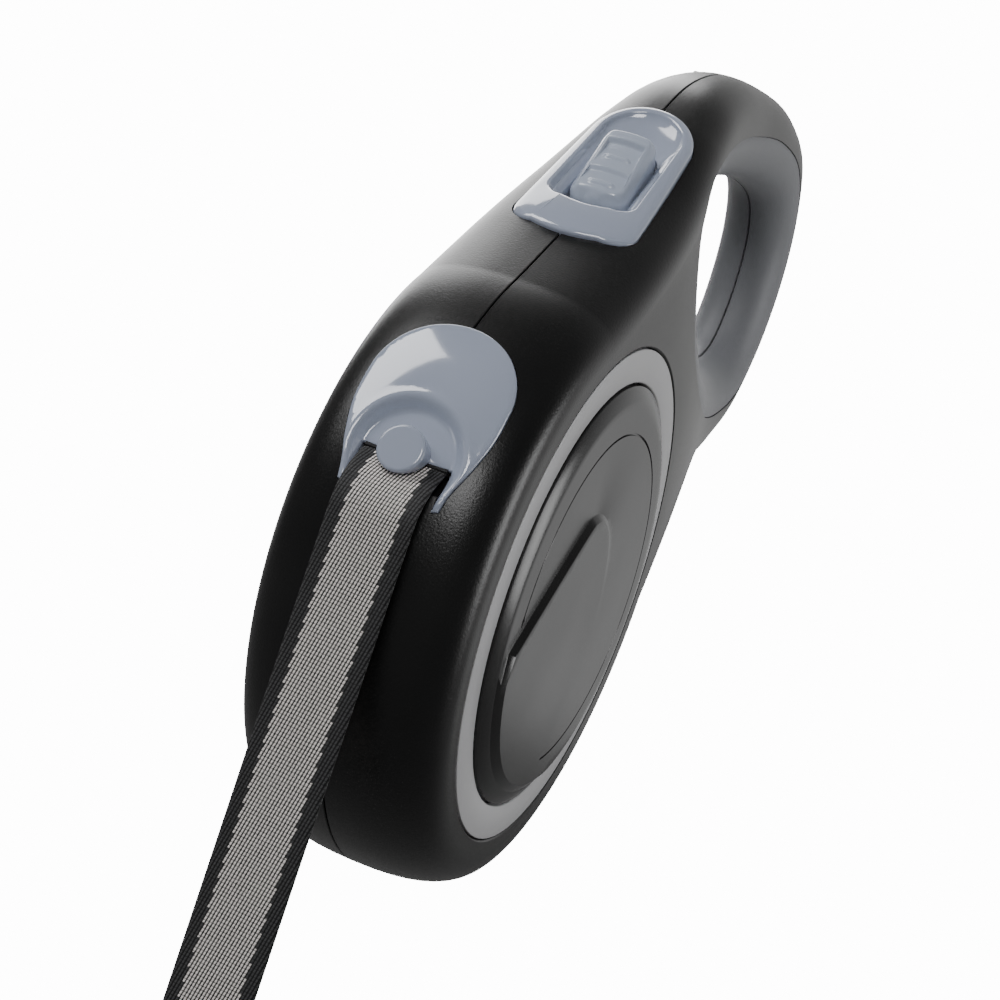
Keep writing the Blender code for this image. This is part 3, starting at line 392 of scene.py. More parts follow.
def seat_plug(side, fineness, clearance):
    opening = spline(OPENING, 3 * fineness, True)
    lip = inset(opening, -LINER_W)
    heights = [half_thickness(y, z) * LIP_HALF for y, z in lip]
    drop = LINER_T + clearance
    loops = [[(-side, y, z) for y, z in inset(opening, -drop)]]
    for offset, share in liner_curve(LINER_T, 3 * fineness)[1:]:
        loop = inset(opening, -offset - clearance)
        loops.append([(side * (h - drop) * share, y, z) for h, (y, z) in zip(heights, loop)])
    loops.append([(side * 2 * DISC_HALF, y, z) for y, z in inset(opening, -LINER_W - clearance)])
    return loft(loops)


def case_shell(side):
    name = "shell_right" if side > 0 else "shell_left"
    node = "case_right" if side > 0 else "case_left"
    lead = [(0.05, 1.2), (0.05, 0.30), (0.10, 0.10), (0.22, 0.0)]
    shell = piece(name, half_solid(side, 9, 0.0, 16, lead, 3.0), None, "case", [node], 0)
    cavity = add_piece("cavity", mesh_of(half_solid(side, 2, WALL, 4, [(-1.0, 0.0)], 20.0), "cavity"), None)
    boolean(cavity, seat_plug(side, 2, GAP + 1.6))
    modifier = shell.modifiers.new("boolean", "BOOLEAN")
    modifier.operation = "DIFFERENCE"
    modifier.object = cavity
    modifier.solver = "EXACT"
    with bpy.context.temp_override(object=shell, active_object=shell, selected_objects=[shell]):
        bpy.ops.object.modifier_apply(modifier=modifier.name)
    bpy.data.objects.remove(cavity)
    boolean(shell, seat_plug(side, 6, 0.12))
    floor = DISC_HALF - RECESS_DEPTH
    recess = [(0.0, side * floor), (RECESS_R, side * floor), (RECESS_R, side * (DISC_HALF - 0.25)),
              (RECESS_R + 0.35, side * (DISC_HALF + 0.1)), (RECESS_R + 0.35, side * 20), (0.0, side * 20)]
    boolean(shell, turn_x(recess, 160))
    boolean(shell, dish_block(DISH_R + 0.6, CASE_R - 3.5, CASE_R + 4.0, 1.0))
    boolean(shell, loft([rim_loop(trim_outline(0.12, 6), -1.3), rim_loop(trim_outline(0.12, 6), 4.0)]))
    boolean(shell, slot_block())
    seat = [shoulder_loop(POCKET, -1.2, True, 0.6), shoulder_loop(BEZEL, -1.2, True, 0.14),
            shoulder_loop(BEZEL, 8.0, False, 0.14)]
    boolean(shell, loft(seat))
    boolean(shell, loft([shoulder_loop(POCKET, -11.3, False, 0.4), shoulder_loop(POCKET, 5.0, False, 0.4)]))
    if side < 0:
        for y, z in SCREW_SITES:
            head = half_thickness(y, z)
            profile = [(0.0, -head + 2.9), (SCREW_SINK_R, -head + 2.9), (SCREW_SINK_R, -head - 2),
                       (0.0, -head - 2)]
            boss = [(0.0, -head + 1.2), (SCREW_SINK_R + 0.9, -head + 1.2), (SCREW_SINK_R + 0.9, -head + 4.2),
                    (0.0, -head + 4.2)]
            boolean(shell, turn_x(boss, 40, y, z), "UNION")
            boolean(shell, turn_x(profile, 40, y, z))
    shell.data.shade_smooth()
    shell.data.set_sharp_from_angle(angle=math.radians(32))
    shell.data.materials.clear()
    shell.data.materials.append(case_plastic())
    return shell


# Grip liner

def grip_liner(side):
    name = "liner_right" if side > 0 else "liner_left"
    node = "grip_liner_right" if side > 0 else "grip_liner_left"
    opening = spline(OPENING, 16, True)
    lip = inset(opening, -LINER_W)
    heights = [half_thickness(y, z) * LIP_HALF for y, z in lip]
    rows = [[(side * 0.08, y, z) for y, z in inset(opening, -0.35)]]
    rows.append([(side * 0.22, y, z) for y, z in inset(opening, -0.03)])
    for offset, share in liner_curve(0.0, 20)[1:]:
        loop = inset(opening, -offset)
        rows.append([(side * max(h * share, 0.25), y, z) for h, (y, z) in zip(heights, loop)])
    for extra, drop in ((-0.02, 0.05), (0.03, 0.2), (0.0, LINER_T)):
        loop = inset(opening, -LINER_W - extra + 0.06)
        rows.append([(side * (h - drop), y, z) for h, (y, z) in zip(heights, loop)])
    for offset, share in liner_curve(LINER_T, 8)[-2::-1]:
        loop = inset(opening, -offset)
        rows.append([(side * max((h - LINER_T) * share, 0.08), y, z) for h, (y, z) in zip(heights, loop)])
    return piece(name, loft(rows, closed=True), grip_rubber(), "case", [node], 50)


# Side trims

def side_ring(side):
    name, node = ("ring_right", "side_ring_right") if side > 0 else ("ring_left", "side_ring_left")
    low, top = DISC_HALF - 1.5, DISC_HALF
    profile = [(RING_IN, low), (RING_IN, top - 0.25), (RING_IN + 0.08, top - 0.08), (RING_IN + 0.25, top),
               (RING_R - 0.2, top), (RING_R - 0.05, top - 0.07), (RING_R, top - 0.22), (RING_R, low)]
    profile = [(r, side * x) for r, x in profile]
    return piece(name, turn_x(profile, 256), ring_plastic(), "case", [node], 40)


def step_line():
    """The raised panel's outline: the cap's arc at the foot, a straight front edge and a rounded tip."""
    arc = [on_circle(CAP_FACE_R - 0.8, a) for a in range(-159, -69, 4)]
    top = [(-26.6, -8.3), (-19.0, 0.4), (-10.2, 10.0), (-7.2, 12.2), (-3.3, 12.5), (1.2, 10.4), (5.2, 6.2),
           (9.0, -1.0), (11.2, -10.0), (11.6, -19.0), (10.9, -26.0)]
    return arc, top


def cap_rise(y, z):
    """How far the cap's face outside the raised panel climbs towards it: from none at the front to level."""
    turn = math.degrees(math.atan2(z - CAP_TIP[1], y - CAP_TIP[0]))
    climb = 1 - smoothstep(turn, -50.0, 120.0) if turn > -137.0 else 0.0
    return climb * (1 - smoothstep(math.hypot(y, z), CAP_FACE_R - 1.0, CAP_FACE_R))


def side_cap(side):
    name, node = ("cap_right", "side_cap_right") if side > 0 else ("cap_left", "side_cap_left")
    low, edge, top = DISC_HALF - 1.5, DISC_HALF + 0.25, DISC_HALF + CAP_RISE
    profile = [(CAP_R, low), (CAP_R, edge - 0.1), (CAP_R - 0.12, edge), (CAP_R - 1.9, top - 0.1),
               (CAP_FACE_R, top)]
    count = 192
    bm = bmesh.new()
    rows = [[bm.verts.new((side * x, *on_circle(r, 360 * k / count))) for k in range(count)] for r, x in profile]
    for a, b in zip(rows, rows[1:]):
        for i in range(count):
            j = (i + 1) % count
            bm.faces.new((a[i], a[j], b[j], b[i]))
    bm.faces.new(rows[0])
    cap_face(bm, side, top, rows[-1])
    bmesh.ops.recalc_face_normals(bm, faces=bm.faces)
    cap = piece(name, bm, None, "case", [node], 30)
    boolean(cap, groove_cutter(side, top))
    cap.data.shade_smooth()
    cap.data.set_sharp_from_angle(angle=math.radians(20))
    cap.data.materials.clear()
    cap.data.materials.append(cap_plastic())
    return cap


def cap_face(bm, side, base, rim):
    """The cap's face: a level panel behind a chamfered step, and round it a face that climbs to meet it."""
    arc, top = step_line()
    outline = spline([arc[0]] + top + [arc[-1]], 6, False) + arc[1:-1][::-1]
    foot, brow, crest = (inset(outline, d) for d in (-0.35, 0.50, 0.66))
    heights = {}
    points, edges = [], []

    def add_loop(loop, height):
        first = len(points)
        for i, p in enumerate(loop):
            key = Vector(p)
            heights[len(points)] = height(*p)
            points.append(key)
            edges.append((first + i, first + (i + 1) % len(loop)))

    add_loop([(v.co.y, v.co.z) for v in rim], lambda y, z: 0.0)
    add_loop(foot, lambda y, z: STEP_RISE * cap_rise(y, z))
    add_loop(brow, lambda y, z: STEP_RISE - 0.05 * (1 - cap_rise(y, z)))
    add_loop(crest, lambda y, z: STEP_RISE)
    for k in range(1, 38):
        radius = CAP_FACE_R * k / 38
        around = max(12, round(radius * 5))
        for i in range(around):
            p = on_circle(radius, 360 * i / around)
            if not inside(p, inset(outline, -0.7)) if k > 3 else False:
                heights[len(points)] = STEP_RISE * cap_rise(*p)
                points.append(Vector(p))
            elif inside(p, inset(outline, 1.3)):
                heights[len(points)] = STEP_RISE
                points.append(Vector(p))
    found, _, faces, sources, _, _ = delaunay_2d_cdt(points, edges, [], 0, 1e-5, True)
    verts = [bm.verts.new((side * (base + heights[source[0]] if source else base), *p))
             for p, source in zip(found, sources)]
    for face in faces:
        bm.faces.new([verts[i] for i in face])
    bmesh.ops.remove_doubles(bm, verts=bm.verts, dist=0.002)


def groove_cutter(side, top):
    """A fine groove, most of a circle, with a dot where it starts."""
    loops = []
    run = math.radians(GROOVE_FROM - GROOVE_TO) * GROOVE_R
    marks = [0.15 * i for i in range(16)] + [2.4 + (run - 2.4) * i / 120 for i in range(121)]
    for mark in marks:
        y, z = on_circle(1.0, GROOVE_FROM - math.degrees(mark / GROOVE_R))
        wide = 1 + 1.3 * math.exp(-((mark - 0.9) / 0.5) ** 2)
        lift = top + STEP_RISE * cap_rise(GROOVE_R * y, GROOVE_R * z)
        section = [(-0.28, 0.5), (0.28, 0.5), (0.12, -0.3), (-0.12, -0.3)]
        loops.append([(side * (lift + up), (GROOVE_R + r * wide) * y, (GROOVE_R + r * wide) * z)
                      for r, up in section])
    return loft(loops)


# Nose trim, drawn on the rim by angle round the spool axis and distance across

def rim_point(degrees, x, height):
    radius = CASE_R - edge_drop(x, DISC_HALF, RIM_W) + height
    y, z = on_circle(radius, degrees)
    return (x, y, z)


def arc_degrees(length):
    return math.degrees(length / CASE_R)


def trim_outline(grow=0.0, fineness=4):
    """(angle, x) round the trim: a round top, sides that run in, and two short legs beside the tape."""
    radius = TRIM_R + grow
    turns = 9 * fineness
    points = []
    for k in range(-turns, turns + 1):
        a = math.radians(k * 90 / turns)
        points.append((TRIM_MID - arc_degrees(radius * math.cos(a)), radius * math.sin(a)))
    leg = TRIM_LEG - grow
    tip = TRIM_TIP + arc_degrees(grow)
    corners = [(TRIM_MID - 4.0, radius * 0.955), (TRIM_MID, radius), (TRIM_MID + 6.0, radius * 0.99),
               (162.5, 9.15 + grow), (167.5, 7.75 + grow), (tip, leg + 0.75 + 1.6 * grow),
               (tip + 2.0, leg)]
    right = spline(corners, fineness, False)[1:] + [(tip, leg)]
    lip_run = 2 * fineness
    notch = [(tip + (TRIM_LIP - tip) * k / lip_run, leg) for k in range(1, lip_run + 1)]
    lip = [(TRIM_LIP, leg - 2 * leg * k / (4 * fineness)) for k in range(1, 4 * fineness)]
    left = [(a, -x) for a, x in (right + notch)[::-1]]
    return points + right + notch + lip + left


def rim_loop(outline, height):
    return [rim_point(a, x, height) for a, x in outline]


def nose_direction(degrees):
    y, z = on_circle(1.0, degrees)
    return Vector((0.0, y, z))


def dish_block(radius, low, high, spare=0.0):
    out = nose_direction(DISH_MID)
    down = Vector((0.0, -out.z, out.y))
    lip = CASE_R * math.radians(TRIM_LIP - DISH_MID) + spare
    spread = math.pi / 2 + math.asin(lip / radius)
    turns = [-spread + 2 * spread * k / 48 for k in range(49)]
    flat = [(radius * math.sin(a), -radius * math.cos(a)) for a in turns]
    return loft([[out * r + down * u + Vector((x, 0.0, 0.0)) for x, u in flat] for r in (low, high)])


def dish_height(degrees, x):
    """The trim's top above the rim: level, then down into the dish round the boss."""
    u = CASE_R * math.radians(degrees - DISH_MID)
    rho = math.hypot(x, u)
    rim = 0.45 + 0.12 * math.exp(-((rho - DISH_R - 0.35) / 0.45) ** 2)
    wall = smoothstep(rho, DISH_FLOOR - 0.2, DISH_R + 0.1)
    return rim - DISH_DEPTH * (1 - wall)


def nose_trim():
    outline = trim_outline(0.0, 8)
    scale = CASE_R * math.radians(1)
    flat = [(a * scale, x) for a, x in outline]

    def moved(distance):
        return [(a / scale, x) for a, x in inset(flat, distance)]

    def top_loop(distance, drop):
        return [rim_point(a, x, dish_height(a, x) - drop) for a, x in moved(distance)]

    deep = [rim_point(a, x, min(-0.9, dish_height(a, x) - 1.0)) for a, x in moved(0.02)]
    levels = [deep, top_loop(0.0, 0.45), top_loop(0.03, 0.22), top_loop(0.14, 0.07), top_loop(0.32, 0.0)]
    bm = bmesh.new()
    rows = [[bm.verts.new(p) for p in loop] for loop in levels]
    for a, b in zip(rows, rows[1:]):
        for i in range(len(a)):
            j = (i + 1) % len(a)
            bm.faces.new((a[i], a[j], b[j], b[i]))
    ring = [(a * scale, x) for a, x in moved(0.32)]
    shrunk = inset(ring, 0.25)
    centre = DISH_MID * scale
    inner = []
    for step, radii in enumerate([r * 0.3 for r in range(9, 31)]):
        count = 72
        for k in range(count):
            p = (centre + radii * math.cos(2 * math.pi * k / count), radii * math.sin(2 * math.pi * k / count))
            if inside(p, shrunk):
                inner.append(Vector(p))
    for i in range(-30, 31):
        for j in range(-24, 25):
            p = (TRIM_MID * scale + i * 0.6, j * 0.6)
            if math.hypot(p[0] - centre, p[1]) > 9.4 and inside(p, shrunk):
                inner.append(Vector(p))
            elif math.hypot(p[0] - centre, p[1]) < 2.5 and inside(p, shrunk):
                inner.append(Vector(p))
    edges = [(i, (i + 1) % len(ring)) for i in range(len(ring))]
    points, _, faces, _, _, _ = delaunay_2d_cdt([Vector(p) for p in ring] + inner, edges, [], 0, 1e-4, True)
    kept = [f for f in faces if inside(sum((points[i] for i in f), Vector((0, 0))) / 3, ring)]
    top, under = [], []
    for p in points:
        a, x = p.x / scale, p.y
        top.append(bm.verts.new(rim_point(a, x, dish_height(a, x))))
    for face in kept:
        bm.faces.new([top[i] for i in face])
    low_ring = [(a * scale, x) for a, x in moved(0.02)]
    edges = [(i, (i + 1) % len(low_ring)) for i in range(len(low_ring))]
    points, _, faces, _, _, _ = delaunay_2d_cdt([Vector(p) for p in low_ring] + inner[::4], edges, [], 0, 1e-4,
                                                True)
    for p in points:
        a, x = p.x / scale, p.y
        under.append(bm.verts.new(rim_point(a, x, min(-0.9, dish_height(a, x) - 1.0))))
    for face in faces:
        if inside(sum((points[i] for i in face), Vector((0, 0))) / 3, low_ring):
            bm.faces.new([under[i] for i in face])
    bmesh.ops.remove_doubles(bm, verts=bm.verts, dist=0.001)
    bmesh.ops.delete(bm, geom=[v for v in bm.verts if not v.link_faces], context="VERTS")
    trim = piece("trim", bm, gloss_plastic(), "case", ["nose_trim"], 40)
    boss()
    return trim


def tape_direction():
    pack = PACK_R + GAP + TAPE_T / 2
    reach = math.hypot(EXIT_Y, EXIT_Z)
    angle = math.degrees(math.atan2(EXIT_Z, EXIT_Y)) - math.degrees(math.acos(pack / reach))
    start = on_circle(pack, angle)
    return start, Vector((EXIT_Y - start[0], EXIT_Z - start[1])).normalized()


def slot_block():
    _, along = tape_direction()
    up = Vector((0.0, along.y, -along.x))
    run = Vector((0.0, along.x, along.y))
    centre = Vector((0.0, EXIT_Y, EXIT_Z)) - up * 0.1
    loops = []
    for reach in (-5.0, 9.0):
        loops.append([centre + run * reach + Vector((6.5 * i, 0, 0)) + up * (1.1 * j)
                      for i, j in ((-1, -1), (1, -1), (1, 1), (-1, 1))])
    return loft(loops)


def boss():
    """The round boss in the dish, cut away underneath where the tape passes."""
    out = nose_direction(DISH_MID)
    face = CASE_R + BOSS_FACE
    profile = [(0.0, 44.7), (NOSE_BOSS_R, 44.7), (NOSE_BOSS_R, face - 0.45), (NOSE_BOSS_R - 0.05, face - 0.26),
               (NOSE_BOSS_R - 0.17, face - 0.1), (NOSE_BOSS_R - 0.38, face - 0.01), (NOSE_BOSS_R - 0.5, face),
               (1.4, face + 0.04), (0.0, face + 0.05)]
    bm = turned_along(profile, (0, 0, 0), out, 72)
    _, along = tape_direction()
    up = Vector((0.0, along.y, -along.x))
    plane = Vector((0.0, EXIT_Y, EXIT_Z)) + up * 0.8
    cut = bmesh.ops.bisect_plane(bm, geom=bm.verts[:] + bm.edges[:] + bm.faces[:], plane_co=plane,
                                 plane_no=up, clear_inner=True, clear_outer=False)
    bmesh.ops.contextual_create(bm, geom=[e for e in cut["geom_cut"] if isinstance(e, bmesh.types.BMEdge)])
    piece("trim_boss", bm, gloss_plastic(), "case", [], 40)


# The shoulder frame of the brake

def shoulder(x, s, h):
    a = math.radians(SHOULDER_SLOPE)
    return (x, SHOULDER[0] + s * math.cos(a) - h * math.sin(a), SHOULDER[1] + s * math.sin(a) + h * math.cos(a))


def shoulder_fall(x):
    return edge_drop(x, half_thickness(*SHOULDER), edge_width(*SHOULDER))


def oval(front, back, front_w, back_w, front_r, segments=144):
    points = []
    quarter = segments // 4
    for k in range(2 * quarter + 1):
        a = math.pi / 2 * k / quarter
        points.append((back_w * math.cos(a), back - back_w + back_w * math.sin(a)))
    bulge = 0.12 * front_w
    for k in range(quarter):
        a = math.pi + math.pi / 2 * k / (quarter - 1)
        points.append((-(front_w - front_r) + front_r * math.cos(a),
                       front + bulge + front_r + front_r * math.sin(a)))
    half = front_w - front_r
    for k in range(1, 12):
        x = -half + 2 * half * k / 12
        points.append((x, front + bulge * (x / half) ** 2))
    for k in range(quarter):
        a = 1.5 * math.pi + math.pi / 2 * k / (quarter - 1)
        points.append((half + front_r * math.cos(a), front + bulge + front_r + front_r * math.sin(a)))
    return points


def shoulder_loop(outline, height, follow=True, grow=0.0):
    grown = inset(outline, -grow) if grow else outline
    return [shoulder(x, s, height - (shoulder_fall(x) if follow else 0.0)) for x, s in grown]


BEZEL = oval(BEZEL_FRONT, BEZEL_BACK, BEZEL_W, 8.2, 4.6)
POCKET = oval(POCKET_FRONT, POCKET_BACK, POCKET_W, 6.2, 3.0)
BUTTON = oval(BUTTON_FRONT, BUTTON_BACK, BUTTON_W, 4.4, 3.0)
BUTTON_SLOT = oval(BUTTON_FRONT - LOCK - 0.35, BUTTON_BACK + 0.4, BUTTON_W + 0.4, 4.8, 3.2)


def between(a, b, share):
    return [(x0 + (x1 - x0) * share, s0 + (s1 - s0) * share) for (x0, s0), (x1, s1) in zip(a, b)]


def bezel():
    rows = [(BEZEL, -0.9, True, 0.0), (BEZEL, 0.2, True, 0.0), (BEZEL, 0.42, True, -0.06),
            (BEZEL, 0.62, True, -0.22), (BEZEL, 0.76, True, -0.5), (BEZEL, 0.84, True, -0.95),
            (POCKET, 0.84, True, 0.75), (POCKET, 0.76, True, 0.35), (POCKET, 0.55, True, 0.12),
            (POCKET, 0.25, True, 0.0), (between(POCKET, BUTTON_SLOT, 0.22), -0.35, True, 0.0),
            (between(POCKET, BUTTON_SLOT, 0.45), -0.9, False, 0.0),
            (between(POCKET, BUTTON_SLOT, 0.72), -1.35, False, 0.0),
            (between(POCKET, BUTTON_SLOT, 0.93), -1.6, False, 0.0), (BUTTON_SLOT, -1.75, False, 0.0),
            (BUTTON_SLOT, TRAY_BOTTOM, False, 0.0), (POCKET, TRAY_BOTTOM, False, 0.6),
            (POCKET, -0.9, True, 0.6)]
    levels = [shoulder_loop(*row) for row in rows]
    return piece("bezel", loft(levels, closed=True), gloss_plastic(), "case", ["brake_bezel"], 50)


def button_height(s, x):
    """The thumb piece's top: a rounded nose, two flats with a rib on each, and a raised back."""
    stations = [(BUTTON_FRONT, -1.5), (BUTTON_FRONT + 0.8, -0.5), (BUTTON_FRONT + 2.0, 0.25), (-3.0, 0.4),
                (-1.9, 0.5), (-1.1, 1.15), (0.6, 1.25), (3.4, 1.35), (4.5, 1.55), (5.3, 2.55), (6.7, 2.75),
                (7.3, 2.3), (7.8, 0.1), (8.3, -0.7), (BUTTON_BACK, -0.9), (BUTTON_BACK + 1, -1.1)]
    h = stations[-1][1]
    for (s0, h0), (s1, h1) in zip(stations, stations[1:]):
        if s <= s1:
            t = min(max((s - s0) / (s1 - s0), 0.0), 1.0)
            h = h0 + (h1 - h0) * t * t * (3 - 2 * t)
            break
    for at in (-4.4, 1.5):
        away = math.hypot(max(abs(x) - 1.5, 0.0), (s - at) * 0.9)
        h += 0.3 * (1 - smoothstep(away, 0.25, 0.6))
    return h - 0.028 * x * x


def button():
    """The thumb piece: a fine grid over its outline, dropped at the border, on its stem and flange."""
    levels = [(0.0, -1.3), (-0.25, -0.85), (-0.6, -0.45), (-0.85, -0.2), (-1.05, -0.07), (-1.3, 0.0)]
    bm = bmesh.new()
    flange = oval(BUTTON_FRONT, BUTTON_BACK + 1.2, BUTTON_W + 1.1, BUTTON_W + 0.8, 3.2)
    base = [shoulder_loop(flange, -5.3, False), shoulder_loop(flange, -4.2, False),
            shoulder_loop(BUTTON, -4.2, False)]
    rows = [[bm.verts.new(p) for p in loop] for loop in base]
    last = BUTTON
    for grow, drop in levels:
        last = inset(BUTTON, -grow) if grow else BUTTON
        rows.append([bm.verts.new(shoulder(x, s, button_height(s, x) + drop))
                     for x, s in last])
    for a, b in zip(rows, rows[1:]):
        for i in range(len(a)):
            j = (i + 1) % len(a)
            bm.faces.new((a[i], a[j], b[j], b[i]))
    bm.faces.new(rows[0])
    shrunk = inset(last, 0.12)
    grid = [Vector((i * 0.35, j * 0.14)) for i in range(-14, 15) for j in range(-60, 75)
            if inside((i * 0.35, j * 0.14), shrunk)]
    edges = [(i, (i + 1) % len(last)) for i in range(len(last))]
    points, _, faces, _, _, _ = delaunay_2d_cdt([Vector(p) for p in last] + grid, edges, [], 0, 1e-4, True)
    top = [bm.verts.new(shoulder(p.x, p.y, button_height(p.y, p.x))) for p in points]
    for face in faces:
        if inside(sum((points[i] for i in face), Vector((0, 0))) / 3, last):
            bm.faces.new([top[i] for i in face])
    bmesh.ops.remove_doubles(bm, verts=bm.verts, dist=0.001)
    bmesh.ops.delete(bm, geom=[v for v in bm.verts if not v.link_faces], context="VERTS")
    return piece("thumb_button", bm, button_plastic(), "button", ["brake_button"], 50)


# Tape

def free_path(fine):
    """Straight out of the outlet, one bend, then straight down to the loop of the hook."""
    _, along = tape_direction()
    first = Vector((EXIT_Y, EXIT_Z))
    bend = first + along * STRAIGHT
    heading = math.atan2(along.y, along.x) % (2 * math.pi)
    centre = bend + Vector((-math.sin(heading), math.cos(heading))) * BEND_R
    turn = 1.5 * math.pi - heading
    path = [tuple(first.lerp(bend, k / (2 * fine))) for k in range(2 * fine)]
    for k in range(6 * fine + 1):
        a = heading - math.pi / 2 + turn * k / (6 * fine)
        path.append((centre.x + BEND_R * math.cos(a), centre.y + BEND_R * math.sin(a)))
    low = path[-1][1]
    shift = TAPE_Y - path[-1][0]
    path = [(y + shift * smoothstep(-z, -EXIT_Z, -low), z) for y, z in path]
    runs = 12 * fine
    return path + [(TAPE_Y, low + (TAPE_END - low) * (k + 1) / runs) for k in range(runs)]


def resampled(path, step):
    """The path at even steps, as (y, z, normal y, normal z, distance)."""
    lengths = [0.0]
    for a, b in zip(path, path[1:]):
        lengths.append(lengths[-1] + math.hypot(b[0] - a[0], b[1] - a[1]))
    count = max(int(round(lengths[-1] / step)), 2)
    found, i = [], 0
    for k in range(count + 1):
        at = lengths[-1] * k / count
        while i < len(path) - 2 and lengths[i + 1] < at:
            i += 1
        t = (at - lengths[i]) / (lengths[i + 1] - lengths[i])
        found.append((path[i][0] + (path[i + 1][0] - path[i][0]) * t,
                      path[i][1] + (path[i + 1][1] - path[i][1]) * t, at))
    rows = []
    for k, (y, z, at) in enumerate(found):
        a, b = found[max(k - 1, 0)], found[min(k + 1, count)]
        length = math.hypot(b[0] - a[0], b[1] - a[1])
        rows.append((y, z, (b[1] - a[1]) / length, -(b[0] - a[0]) / length, at))
    return rows, lengths[-1]


def woven_band(name, path, body, nodes, per_thread=3):
    """A woven tape: both faces are a fine grid raised thread by thread, joined along its edges."""
    rows, length = resampled(path, THREAD / per_thread)
    threads = int(TAPE_W / THREAD)
    columns = threads * per_thread
    bm = bmesh.new()
    layer = bm.loops.layers.uv.new("weave")
    place_of = {}
    sheets = []
    for face in (1, -1):
        sheet = []
        for y, z, ny, nz, at in rows:
            line = []
            for c in range(columns + 1):
                x = -TAPE_W / 2 + TAPE_W * c / columns
                row = at * ROWS_ALONG
                over = math.cos(2 * math.pi * (x * THREADS_ACROSS + ROW_SHIFT * row)) * abs(math.cos(math.pi * row))
                edge = 1 - smoothstep(abs(x), TAPE_W / 2 - 0.5, TAPE_W / 2)
                lift = (TAPE_T / 2 - 0.06) * (0.35 + 0.65 * edge) + 0.05 * over * edge
                vert = bm.verts.new((x, y + face * ny * lift, z + face * nz * lift))
                place_of[vert] = (x, at)
                line.append(vert)
            sheet.append(line)
        sheets.append(sheet)
    front, back = sheets
    for sheet in sheets:
        for a, b in zip(sheet, sheet[1:]):
            for i in range(columns):
                bm.faces.new((a[i], a[i + 1], b[i + 1], b[i]))
    for i in (0, columns):
        for k in range(len(rows) - 1):
            bm.faces.new((front[k][i], front[k + 1][i], back[k + 1][i], back[k][i]))
    for k in (0, len(rows) - 1):
        for i in range(columns):
            bm.faces.new((front[k][i], front[k][i + 1], back[k][i + 1], back[k][i]))
    for face in bm.faces:
        for loop in face.loops:
            x, at = place_of[loop.vert]
            loop[layer].uv = (x, at)
    return piece(name, bm, tape_weave(), body, nodes, 0), length


def free_tape():
    tape, length = woven_band("tape", free_path(4), "case", ["tape_free"])
    route = [place((0.0, y, z)) for y, z, _, _, _ in resampled(free_path(4), 4.0)[0]]
    return tape


# Camera, light and floor

def studio():
    camera_data = bpy.data.cameras.new("camera")
    camera_data.lens = 77.19
    camera_data.sensor_width = 36.0
    camera = bpy.data.objects.new("camera", camera_data)
    bpy.context.scene.collection.objects.link(camera)
    right = Vector((0.8993, 0.2979, 0.3202))
    up = Vector((-0.31946, -0.05257, 0.94614))
    back = right.cross(up)
    turn = Matrix((right, up, back)).transposed().to_4x4()
    camera.matrix_world = Matrix.Translation(place((95.65, -305.3, 25.1))) @ turn
    camera_data.clip_start = 0.01
    bpy.context.scene.camera = camera

    world = bpy.data.worlds.new("studio")
    bpy.context.scene.world = world
    world.use_nodes = True
    tree = world.node_tree
    tree.nodes.clear()
    out = tree.nodes.new("ShaderNodeOutputWorld")
    seen = tree.nodes.new("ShaderNodeBackground")
    seen.inputs["Color"].default_value = (1.0, 1.0, 1.0, 1.0)
    seen.inputs["Strength"].default_value = WHITE
    fill = tree.nodes.new("ShaderNodeBackground")
    fill.inputs["Strength"].default_value = FILL_STRENGTH
    coords = tree.nodes.new("ShaderNodeTexCoord")
    split = tree.nodes.new("ShaderNodeSeparateXYZ")
    ramp = tree.nodes.new("ShaderNodeValToRGB")
    ramp.color_ramp.elements[0].position = 0.60
    ramp.color_ramp.elements[0].color = (FRONT_FILL, FRONT_FILL, FRONT_FILL, 1.0)
    ramp.color_ramp.elements[1].position = 0.95
    ramp.color_ramp.elements[1].color = (BACK_FILL, BACK_FILL, BACK_FILL, 1.0)
    scale = tree.nodes.new("ShaderNodeMath")
    scale.operation = "MULTIPLY_ADD"
    scale.inputs[1].default_value = 0.5
    scale.inputs[2].default_value = 0.5
    path = tree.nodes.new("ShaderNodeLightPath")
    mix = tree.nodes.new("ShaderNodeMixShader")
    links = tree.links
    links.new(coords.outputs["Generated"], split.inputs[0])
    links.new(split.outputs["Y"], scale.inputs[0])
    links.new(scale.outputs[0], ramp.inputs["Fac"])
    links.new(ramp.outputs["Color"], fill.inputs["Color"])
    links.new(path.outputs["Is Camera Ray"], mix.inputs["Fac"])
    links.new(fill.outputs[0], mix.inputs[1])
    links.new(seen.outputs[0], mix.inputs[2])
    links.new(mix.outputs[0], out.inputs["Surface"])

    for name, away, size, power in LIGHTS:
        light = bpy.data.lights.new(name, "AREA")
        light.shape = "RECTANGLE"
        light.size, light.size_y = size
        light.energy = power
        lamp = bpy.data.objects.new(name, light)
        bpy.context.scene.collection.objects.link(lamp)
        lamp.location = AIM + Vector(away)
        lamp.rotation_euler = (-Vector(away)).to_track_quat("-Z", "Y").to_euler()
        lamp.visible_camera = False

    mesh = bpy.data.meshes.new("floor")
    low = CAD_BOX[0][2] - 0.004
    bm = bmesh.new()
    bmesh.ops.create_grid(bm, x_segments=8, y_segments=8, size=0.8)
    bmesh.ops.translate(bm, vec=(0.0, 0.0, low), verts=bm.verts)
    bm.to_mesh(mesh)
    bm.free()
    floor = bpy.data.objects.new("floor", mesh)
    bpy.context.scene.collection.objects.link(floor)
    mesh.materials.append(floor_paint())


